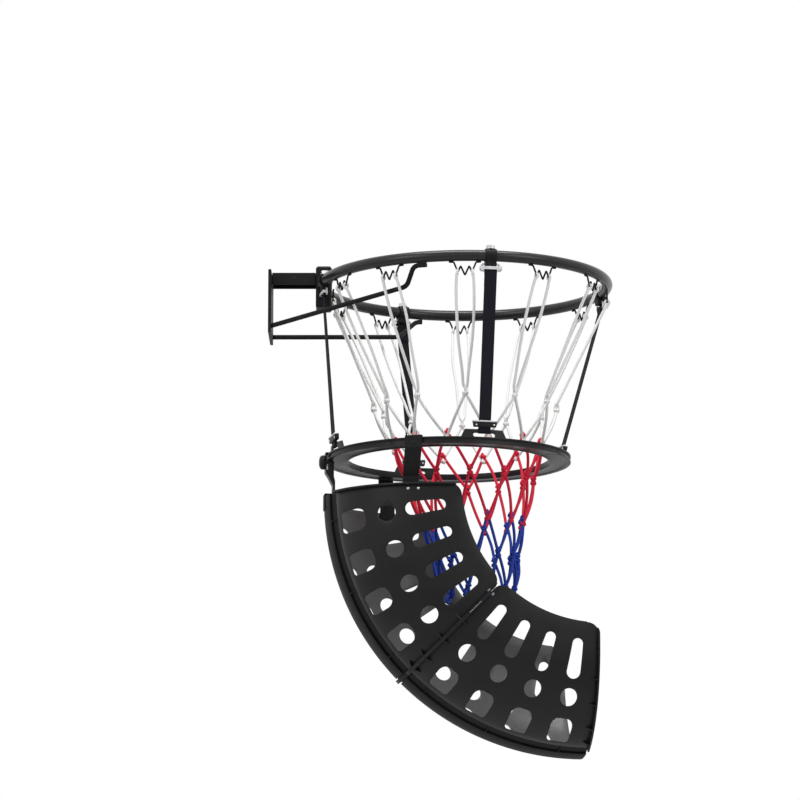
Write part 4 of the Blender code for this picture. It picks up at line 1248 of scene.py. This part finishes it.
class RETURNNET_OT_sides(bpy.types.Operator):
    """The chute's four side panels with their holes, flanges and gussets"""
    bl_idname = "returnnet.sides"
    bl_label = "Chute sides"

    def execute(self, context):
        settings = context.scene.chute_settings
        for segment, first, last, stations in SEGMENTS:
            holes = joined("holes", [
                prism("hole", outline, station)
                for station in stations for outline in hole_outlines()])
            corners = (corner_cutter(first, 1), corner_cutter(last, -1))
            for name, side in SIDES:
                panel = self.panel(settings, side, first, last)
                drill(panel, holes, again=True)
                soften(panel, settings.edge, angle=50)
                pieces = [panel, *self.flanges(settings, side, first, last)]
                for piece in pieces:
                    for corner in corners:
                        drill(piece, corner, again=True)
                pieces += self.webs(side, first, last)
                made = carry(joined(f"side_{segment}_{name}", pieces), CHUTE_FRAME)
                smooth(made)
                fit(made, "chute", "black_plastic", moulded_plastic(), f"chute_{segment}_{name}")
                line_inside(made)
            discard(holes, *corners)
        return {"FINISHED"}

    def panel(self, settings, side, first, last):
        """One side's wall, from the crease to the free edge."""
        start = side * (CREASE_ANGLE + CREASE_SLIT)
        points = section(start, side * 90, settings.side_steps)
        edge = free_edge(side)
        points += [points[-1].lerp(edge, share) for share in (0.5, 1.0)]
        return skin(
            "panel", points, first + SEAM_SLIT, last - SEAM_SLIT, settings.sweep_steps, CHUTE_WALL)

    def flanges(self, settings, side, first, last):
        """The plates that stand out at both ends of a side."""
        start = side * (CREASE_ANGLE + CREASE_SLIT)
        outer, inner = (
            section(start, side * 90, settings.side_steps, grow) + [free_edge(side, grow)]
            for grow in (FLANGE_PROUD, -FLANGE_SUNK))
        made = []
        for angle, lower_side in ((first, True), (last, False)):
            piece = flange("flange", outer, inner, angle, lower_side)
            soften(piece, 0.0004, angle=50)
            made.append(piece)
        return made

    def webs(self, side, first, last):
        """The gussets behind each flange, but none at the chute's top, where it hangs."""
        ends = ((first, 1), (last, -1)) if first else ((last, -1),)
        return [gusset(place, side, angle, away) for angle, away in ends for place in WEB_ANGLES]


class RETURNNET_OT_spine(bpy.types.Operator):
    """The band down the chute's back, its ribbed grooves and the tongues at the seam"""
    bl_idname = "returnnet.spine"
    bl_label = "Chute spine"

    def execute(self, context):
        steps = context.scene.chute_settings.sweep_steps
        edge = CREASE_ANGLE - CREASE_SLIT
        band = 13.5
        short = 0.75
        overlap = 0.6
        groove_sink, groove_wall = 0.0028, 0.0026
        step_sink, step_wall = 0.0045, 0.0014
        tongue_outside, tongue_inside = 0.0002, 0.0055
        for segment, first, last, _ in SEGMENTS:
            upper = segment == "upper"
            start = first + (SEAM_SLIT if upper else short)
            end = last - (short if upper else SEAM_SLIT)
            pieces = [skin("band", section(-band, band, 12), start, end, steps, CHUTE_WALL)]
            for side in (-1, 1):
                groove = section(side * (band - 0.9), side * edge, 5, -groove_sink)
                lip = section(side * (edge - 1.1), side * edge, 2)
                pieces.append(skin("groove", groove, start, end, steps, groove_wall))
                pieces.append(skin("lip", lip, start, end, steps, CHUTE_WALL))
            low = section(-edge, edge, 16, -step_sink)
            if upper:
                span = (last - short - overlap, last - SEAM_SLIT)
            else:
                span = (first + SEAM_SLIT, first + short + overlap)
            pieces.append(skin("step", low, *span, 3, step_wall))
            outer = section(-edge, edge, 16, -tongue_outside)
            inner = section(-edge, edge, 16, -tongue_inside)
            pieces.append(flange("tongue", outer, inner, last if upper else first, not upper))
            for piece in pieces:
                soften(piece, 0.0004, angle=50)
            for station in ((6.3, 23.0, 39.5) if upper else (50.5, 66.7, 83.5)):
                for side in (-1, 1):
                    pieces.append(self.rib(station, side * (band - 1.5), side * edge))
            if upper:
                pieces.append(self.boss())
            made = carry(joined(f"back_{segment}", pieces), CHUTE_FRAME)
            smooth(made)
            fit(made, "chute", "black_plastic", dull_plastic(), f"chute_{segment}_spine")
            line_inside(made)
        return {"FINISHED"}

    def rib(self, station, start, end):
        """A thin web across a groove."""
        outer = section(start, end, 6, 0.0003)
        inner = section(start, end, 6, -0.0035)
        rib = plate("rib", [*outer, *reversed(inner)], (0, 0, -0.0014))
        soften(rib, 0.0002, 1, 50)
        return carry(rib, bend_turn(station))

    def boss(self):
        """The block that the rear hanger is screwed to."""
        low = Vector((-0.2045, -0.012, -0.092))
        high = Vector((-0.1911, 0.012, -0.0655))
        boss = block("boss", (low + high) / 2, high - low)
        soften(boss, 0.0012, 3)
        return boss


class RETURNNET_OT_fixings(bpy.types.Operator):
    """Seam bolts, rivets and the rear screw"""
    bl_idname = "returnnet.fixings"
    bl_label = "Fixings"

    def execute(self, context):
        bolt = self.bolt()
        for name, side in SIDES:
            place = Matrix.Translation((
                BEND_FORWARD - BOLT_REACH, side * (HALF_WIDTH + 0.004), -CHUTE_DROP))
            made = copy_of(bolt, CHUTE_FRAME @ bend_turn(45) @ place, f"seam_fixing_{name}")
            # The seam bolts take the zinc at 0.4 of its colour: painted shade that dims their
            # reflection of the white room.
            fit(made, "chute", "silver_steel", zinc("grey_zinc", 0.4), f"seam_bolt_{name}")
        fit(self.rivets(), "chute", "silver_steel", zinc())
        place = Matrix.Translation(SCREW_PLACE) @ rotation(90, "Y")
        screw = carry(self.cross_screw(), CHUTE_FRAME @ place)
        screw.name = "rear_cross_screw"
        fit(screw, "chute", "silver_steel", zinc(), "rear_screw")
        discard(bolt)
        return {"FINISHED"}

    def bolt(self):
        """A low round head, a shank through both flanges, a washer and a nut."""
        half = CHUTE_WALL + GAP / 2 + GAP
        return turned("bolt", (
            (0, half + 0.0021), (0.0024, half + 0.0025), (0.0034, half + 0.0016), (0.0036, half),
            (0.0018, half), (0.0018, -half), (0.0040, -half), (0.0040, -half - 0.0005),
            (0.0033, -half - 0.0007), (0.0033, -half - 0.0024), (0.0018, -half - 0.0026),
            (0.0016, -half - 0.0034), (0, -half - 0.0034)), 24)

    def rivets(self):
        """Two rivets through each side, where a strip hanger meets the wall."""
        rivet = turned("rivet", (
            (0, 0.0014), (0.0014, 0.0011), (0.0024, 0.0003), (0.0026, -0.0004), (0, -0.0004)), 20)
        rivets = []
        for side in (-1, 1):
            for forward in (-0.0868, -0.0708):
                lateral = side * math.sqrt(HALF_WIDTH ** 2 - (forward - WALL_CENTRE) ** 2)
                out = Vector((forward - WALL_CENTRE, lateral, 0)).normalized()
                spot = Vector((forward, lateral, -0.0785))
                rivets.append(copy_of(rivet, pointed(spot, out)))
        discard(rivet)
        return carry(joined("wall_rivets", rivets), CHUTE_FRAME)

    def cross_screw(self):
        """A pan head with a cross recess on a plain shank."""
        seat = 0.0041
        top = seat + 0.0024
        shank, tip = 0.0020, -0.006
        screw = turned("screw", (
            (0, top), (0.0022, seat + 0.0022), (0.0036, seat + 0.0012), (0.0040, seat),
            (shank, seat), (shank, tip), (0, tip)), 32)
        for turn in (0, 90):
            rest()
            bpy.ops.mesh.primitive_cube_add(
                size=1, location=(0, 0, top), scale=(0.0042, 0.0008, 0.0024),
                rotation=(0, 0, math.radians(turn)))
            drill(screw, bpy.context.object)
        smooth(screw)
        return screw


class RETURNNET_OT_hangers(bpy.types.Operator):
    """The two strip hangers, the rear hanger and its lock knob"""
    bl_idname = "returnnet.hangers"
    bl_label = "Hangers and knob"

    def execute(self, context):
        for name, side in SIDES:
            strip = from_solid(f"hanger_{name}", 0.0006)
            made = joined(f"strip_{name}", [strip, self.oval(side)])
            fit(made, "chute", "black_steel", dull_steel(), f"hanger_{name}")
        rear = from_solid("hanger_rear", 0.0008)
        fit(rear, "chute", "black_plastic", moulded_plastic(), "hanger_rear")
        fit(self.knob(), "lock_knob", "black_plastic", moulded_plastic(), "lock_knob")
        return {"FINISHED"}

    def oval(self, side):
        """The pressed oval on a hanger's upper part."""
        dome = turned("oval", (
            (0, 0.0009), (0.0020, 0.0008), (0.0034, 0.0003), (0.0040, -0.0003), (0, -0.0003)), 28)
        face = rotation(side * 113.7) @ Matrix.Translation((0.2029, 0, -0.0105))
        squash = Matrix.Diagonal((0.75, 1.0, 1.0, 1.0))
        return carry(dome, CHUTE_FRAME @ face @ rotation(90, "Y") @ squash)

    def knob(self):
        """A domed grip with flutes round it, on its screw."""
        base = GAP
        top = base + 0.0095
        knob = turned("knob", (
            (0, top), (0.0050, top - 0.0002), (0.0085, top - 0.0012), (0.0107, top - 0.0030),
            (0.0116, top - 0.0050), (0.0118, base + 0.0014), (0.0112, base), (0.0019, base),
            (0.0019, -0.0125), (0, -0.0125)), 48)
        flutes = [
            cylinder("flute", around(0.0130, 30 * index, top - 0.001), 0.0020, 0.020, sides=16)
            for index in range(12)]
        drill(knob, joined("flutes", flutes))
        soften(knob, 0.0003, angle=50)
        smooth(knob)
        knob = carry(knob, pointed(KNOB_SEAT, KNOB_AXIS))
        knob.name = "fluted_knob"
        return knob


# Net


NET_ROWS = (
    (0.150, 0.206, 0.000), (0.122, 0.268, 0.003), (0.104, 0.323, 0.007),
    (0.083, 0.394, 0.012), (0.068, 0.451, 0.016), (0.060, 0.504, 0.020))
COLUMNS = len(HOOK_ANGLES)
KNOT_LIFT = 0.0045
KNOT_DROP = 0.003
# Half the width of the white loops, along their way from hook to knot
LOOP_SPREADS = (
    (0, 0.0128), (0.12, 0.0138), (0.35, 0.0132), (0.6, 0.0098), (0.85, 0.0054), (0.965, 0.0034))


def knot_angle(row, column):
    """Even rows hang under the hooks, odd rows between them."""
    column %= COLUMNS
    here = HOOK_ANGLES[column]
    if row % 2 == 0:
        return here
    following = HOOK_ANGLES[(column + 1) % COLUMNS]
    return (here + following + (360 if following < here else 0)) / 2


def knot_place(row, column):
    """A knot's place in the rim's frame."""
    radius, drop, drift = NET_ROWS[row]
    return around(radius, knot_angle(row, column), -drop) + Vector((drift, 0, 0))


def eased(points, steps):
    """A smooth line through a few points."""
    points = [Vector(point) for point in points]
    ends = [points[0] * 2 - points[1], *points, points[-1] * 2 - points[-2]]
    line = []
    for index in range(1, len(ends) - 2):
        p0, p1, p2, p3 = ends[index - 1:index + 3]
        for step in range(steps):
            t = step / steps
            line.append(0.5 * (
                2 * p1 + (p2 - p0) * t + (2 * p0 - 5 * p1 + 4 * p2 - p3) * t * t
                + (3 * p1 - p0 - 3 * p2 + p3) * t ** 3))
    line.append(points[-1])
    return line


def add_cord(shape, layer, line, radius, sides, closed=False):
    """A round tube along a line, with a UV map: share round it, metres along it."""
    count = len(line)
    rings = []
    along = 0.0
    side_way = None
    for index, spot in enumerate(line):
        before = line[index - 1] if index or closed else spot
        after = line[(index + 1) % count] if index < count - 1 or closed else spot
        way = (after - before).normalized()
        if side_way is None:
            side_way = way.orthogonal().normalized()
        side_way = (side_way - way * side_way.dot(way)).normalized()
        other = way.cross(side_way)
        if index:
            along += (spot - line[index - 1]).length
        ring = []
        for step in range(sides):
            turn = 2 * math.pi * step / sides
            out = side_way * math.cos(turn) + other * math.sin(turn)
            ring.append(shape.verts.new(spot + out * radius))
        rings.append((ring, along))
    pairs = list(zip(rings, rings[1:]))
    if closed:
        last = rings[-1][1] + (line[0] - line[-1]).length
        pairs.append((rings[-1], (rings[0][0], last)))
    for (upper, start), (lower, end) in pairs:
        for step in range(sides):
            following = (step + 1) % sides
            face = shape.faces.new((upper[step], upper[following], lower[following], lower[step]))
            spots = ((step, start), (step + 1, start), (step + 1, end), (step, end))
            for loop, (share, distance) in zip(face.loops, spots):
                loop[layer].uv = (share / sides, distance)
            face.smooth = True
    if not closed:
        shape.faces.new(list(reversed(rings[0][0])))
        shape.faces.new(rings[-1][0])


class RETURNNET_OT_net(bpy.types.Operator):
    """The knotted net in its three colours"""
    bl_idname = "returnnet.net"
    bl_label = "Net"

    def execute(self, context):
        settings = context.scene.net_settings
        self.radius = settings.cord
        self.sides = settings.sides
        self.slack = settings.slack
        self.chance = random.Random(5)
        for colour, build in (("white", self.white), ("red", self.red), ("blue", self.blue)):
            mesh = bpy.data.meshes.new(f"cord_net_{colour}")
            self.shape = bmesh.new()
            self.layer = self.shape.loops.layers.uv.new("UVMap")
            build()
            bmesh.ops.recalc_face_normals(self.shape, faces=self.shape.faces)
            self.shape.to_mesh(mesh)
            self.shape.free()
            piece = bpy.data.objects.new(mesh.name, mesh)
            context.collection.objects.link(piece)
            carry(piece, RIM_FRAME)
            slot = f"{colour}_cord"
            fit(piece, "hoop", slot, braided_cord(slot), f"net_{colour}")
        return {"FINISHED"}

    def run(self, points, steps):
        """A cord along a smooth line through some points."""
        add_cord(self.shape, self.layer, eased(points, steps), self.radius, self.sides)

    def loop(self, centre, first, second, rx, ry, share=0.9):
        """A closed loop of cord in the plane of two directions, as thick as a share of the cord."""
        line = []
        steps = 14
        for step in range(steps):
            turn = 2 * math.pi * step / steps
            line.append(centre + first * math.cos(turn) * rx + second * math.sin(turn) * ry)
        add_cord(self.shape, self.layer, line, self.radius * share, self.sides, True)

    def knot(self, centre, angle, tall=1.0):
        """Two crossed wraps and a slanting one."""
        out = around(1, angle)
        across = around(1, angle + 90)
        lean = (UP + across * self.chance.uniform(-0.4, 0.4)).normalized()
        wide = self.radius * 1.25
        self.loop(centre, out, across, wide, wide * 1.15)
        self.loop(centre + lean * self.radius * 0.3, lean, out, wide * tall, wide)
        self.loop(
            centre - lean * self.radius * 0.2, (across + lean).normalized(), out,
            wide * 1.1, wide * 1.05)

    def strand(self, start, end, bow):
        """A cord that leaves one knot and reaches the next in a loose curve."""
        middle_of = (start + end) / 2
        out = Vector((middle_of.x, middle_of.y, 0)).normalized()
        side_of = Vector((-out.y, out.x, 0))
        drift = self.chance.uniform(-1, 1)
        sway = self.chance.uniform(-0.0022, 0.0022)
        points = [start]
        for share in (0.2, 0.5, 0.8):
            lift = 4 * share * (1 - share)
            points.append(
                start.lerp(end, share) + out * lift * (bow + 0.001 * drift)
                + side_of * sway * lift)
        points.append(end)
        self.run(points, 4)

    def white(self):
        """A loop from each hook to its knot, and the first row of meshes."""
        for column, angle in enumerate(HOOK_ANGLES):
            knot = knot_place(0, column)
            across = around(1, angle + 90)
            out = around(1, angle)
            top = around(hook_radius(column), angle, -0.0285)
            bottom = knot + UP * 0.009
            sides = []
            for side in (-1, 1):
                points = []
                for share, spread in LOOP_SPREADS:
                    sway = math.sin(share * math.pi) * self.chance.uniform(-0.0012, 0.0012)
                    points.append(top.lerp(bottom, share) + across * (side * spread + sway))
                sides.append(points)
                bar = top + across * side * 0.0118 + UP * 0.0018
                self.loop(bar, out, UP, 0.0036, 0.0040, 0.85)
            self.run([*sides[0], bottom, *reversed(sides[1])], 5)
            self.loop(knot + UP * 0.0055, out, UP, self.radius * 1.1, 0.0058)
            self.knot(knot, angle, 1.2)
        for column in range(COLUMNS):
            for other in (column, column - 1):
                end = knot_place(1, other) - UP * KNOT_DROP
                self.strand(knot_place(0, column), end, self.slack)
            self.knot(knot_place(1, column) - UP * KNOT_LIFT, knot_angle(1, column))

    def rows(self, first):
        """Two rows of one colour, the first row's knots sitting on the colour above."""
        for row in (first, first + 1):
            for column in range(COLUMNS):
                others = (column, column + 1) if row % 2 else (column, column - 1)
                start = knot_place(row, column) + (UP * KNOT_LIFT if row == first else Vector())
                for other in others:
                    end = knot_place(row + 1, other)
                    if row == first + 1 and first + 2 < len(NET_ROWS) - 1:
                        end = end - UP * KNOT_DROP
                    self.strand(start, end, self.slack)
        for column in range(COLUMNS):
            for row, lift, tall in (
                    (first, KNOT_LIFT, 1.3), (first + 1, 0.0035, 1.3),
                    (first + 1, -KNOT_LIFT, 1.1)):
                self.knot(knot_place(row, column) + UP * lift, knot_angle(row, column), tall)

    def red(self):
        """The middle colour, and its knots on the one below."""
        self.rows(1)
        for column in range(COLUMNS):
            self.knot(knot_place(3, column) - UP * KNOT_LIFT, knot_angle(3, column))

    def blue(self):
        """The lowest colour, with a loose loop under each last knot."""
        self.rows(3)
        for column in range(COLUMNS):
            angle = knot_angle(5, column)
            place = knot_place(5, column)
            across = around(1, angle + 90)
            self.knot(place, angle, 1.2)
            hang = (across * self.chance.uniform(-0.35, 0.35) - UP).normalized()
            self.loop(place + hang * 0.010, hang, across, 0.008, 0.0034)


# Stage


LAMPS = (
    ("lamp_above", (0.3, -0.6, 2.45), (2.2, 0.8), 72.0),
    ("lamp_right", (2.9, -2.6, 1.0), (1.6, 1.6), 27.0),
    ("lamp_left", (-2.4, -2.6, 1.0), (1.6, 1.6), 27.0),
)
LAMP_AIM = Vector((0.3, 0.0, -0.3))
CAMERA_PLACE = (0.2155, -5.9435, -1.2610)
CAMERA_TILT = 100.54
CAMERA_LENS = 165.87
WHITE = (1, 1, 1, 1)


class RETURNNET_OT_stage(bpy.types.Operator):
    """Floor, lights and the camera at the photograph's angle"""
    bl_idname = "returnnet.stage"
    bl_label = "Stage"

    def execute(self, context):
        settings = context.scene.stage_settings
        rest()
        bpy.ops.mesh.primitive_plane_add(size=24.0, location=(0.3, 0, settings.floor_drop))
        floor = started("floor")
        bpy.ops.mesh.subdivide(number_cuts=4)
        rest()
        floor.data.materials.append(self.floor_finish())
        for lamp in LAMPS:
            self.lamp(*lamp)
        self.world(context, settings.light)
        rest()
        bpy.ops.object.camera_add(
            location=CAMERA_PLACE, rotation=(math.radians(CAMERA_TILT), 0, 0))
        camera = context.object
        camera.name = "camera"
        camera.data.lens = CAMERA_LENS
        camera.data.sensor_width = 36.0
        camera.data.clip_end = 60.0
        context.scene.camera = camera
        context.scene.view_settings.view_transform = "Standard"
        return {"FINISHED"}

    def lamp(self, name, place, size, power):
        """A soft box that faces the rim."""
        rest()
        bpy.ops.object.light_add(type="AREA", location=place)
        lamp = bpy.context.object
        lamp.name = name
        lamp.data.shape = "RECTANGLE"
        lamp.data.size, lamp.data.size_y = size
        lamp.data.energy = power
        aim = LAMP_AIM - Vector(place)
        lamp.rotation_euler = aim.to_track_quat("-Z", "Y").to_euler()

    def floor_finish(self):
        """A pale floor that fades into the white room far from the part."""
        finish = Finish("floor_pale")
        marks = finish.noise(3.0, 5.0)
        away = finish.add(
            "ShaderNodeVectorMath", {0: finish.place()}, "Value", operation="LENGTH")
        return finish.set(
            color=finish.blend(marks, (0.86, 0.86, 0.86), (0.91, 0.91, 0.91)),
            roughness=finish.spread(marks, 0.55, 0.7), specular=0.2,
            alpha=finish.spread(away, 1.0, 0.0, 5.0, 11.0))

    def world(self, context, strength):
        """An even room, and a white one to the camera and in reflections."""
        world = bpy.data.worlds.new("studio")
        context.scene.world = world
        world.use_nodes = True
        tree = world.node_tree
        room = tree.nodes["Background"]
        room.inputs["Color"].default_value = WHITE
        room.inputs["Strength"].default_value = strength
        white = tree.nodes.new("ShaderNodeBackground")
        white.inputs["Color"].default_value = WHITE
        path = tree.nodes.new("ShaderNodeLightPath")
        mix = tree.nodes.new("ShaderNodeMixShader")
        seen = path.outputs["Is Camera Ray"]
        for kind in ("Is Glossy Ray", "Is Transmission Ray"):
            either = tree.nodes.new("ShaderNodeMath")
            either.operation = "MAXIMUM"
            tree.links.new(seen, either.inputs[0])
            tree.links.new(path.outputs[kind], either.inputs[1])
            seen = either.outputs[0]
        tree.links.new(seen, mix.inputs[0])
        tree.links.new(room.outputs[0], mix.inputs[1])
        tree.links.new(white.outputs[0], mix.inputs[2])
        tree.links.new(mix.outputs[0], tree.nodes["World Output"].inputs[0])


class RETURNNET_PT_pieces(bpy.types.Panel):
    """The settings and pieces of the return net"""
    bl_label = "Return net"
    bl_space_type = "VIEW_3D"
    bl_region_type = "UI"
    bl_category = "Return net"

    def draw(self, context):
        for group in SETTINGS:
            box = self.layout.box()
            for name in group.__annotations__:
                box.prop(getattr(context.scene, SETTINGS[group]), name)
        for piece in PIECES:
            self.layout.operator(piece.bl_idname)


SETTINGS = {
    FinishSettings: "finish_settings",
    NetSettings: "net_settings",
    ChuteSettings: "chute_settings",
    StrapSettings: "strap_settings",
    StageSettings: "stage_settings",
}
PIECES = (
    RETURNNET_OT_stage,
    RETURNNET_OT_bracket,
    RETURNNET_OT_rim,
    RETURNNET_OT_clamps,
    RETURNNET_OT_straps,
    RETURNNET_OT_sliders,
    RETURNNET_OT_ring,
    RETURNNET_OT_sides,
    RETURNNET_OT_spine,
    RETURNNET_OT_hangers,
    RETURNNET_OT_fixings,
    RETURNNET_OT_net,
)


def register():
    """Register the settings, the operators and the panel."""
    for group, name in SETTINGS.items():
        bpy.utils.register_class(group)
        setattr(bpy.types.Scene, name, PointerProperty(type=group))
    for piece in PIECES:
        bpy.utils.register_class(piece)
    bpy.utils.register_class(RETURNNET_PT_pieces)


def unregister():
    """Undo register."""
    bpy.utils.unregister_class(RETURNNET_PT_pieces)
    for piece in reversed(PIECES):
        bpy.utils.unregister_class(piece)
    for group, name in SETTINGS.items():
        delattr(bpy.types.Scene, name)
        bpy.utils.unregister_class(group)


def main():
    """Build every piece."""
    register()
    for piece in PIECES:
        group, name = piece.bl_idname.split(".")
        getattr(getattr(bpy.ops, group), name)()


if __name__ == "__main__":
    main()
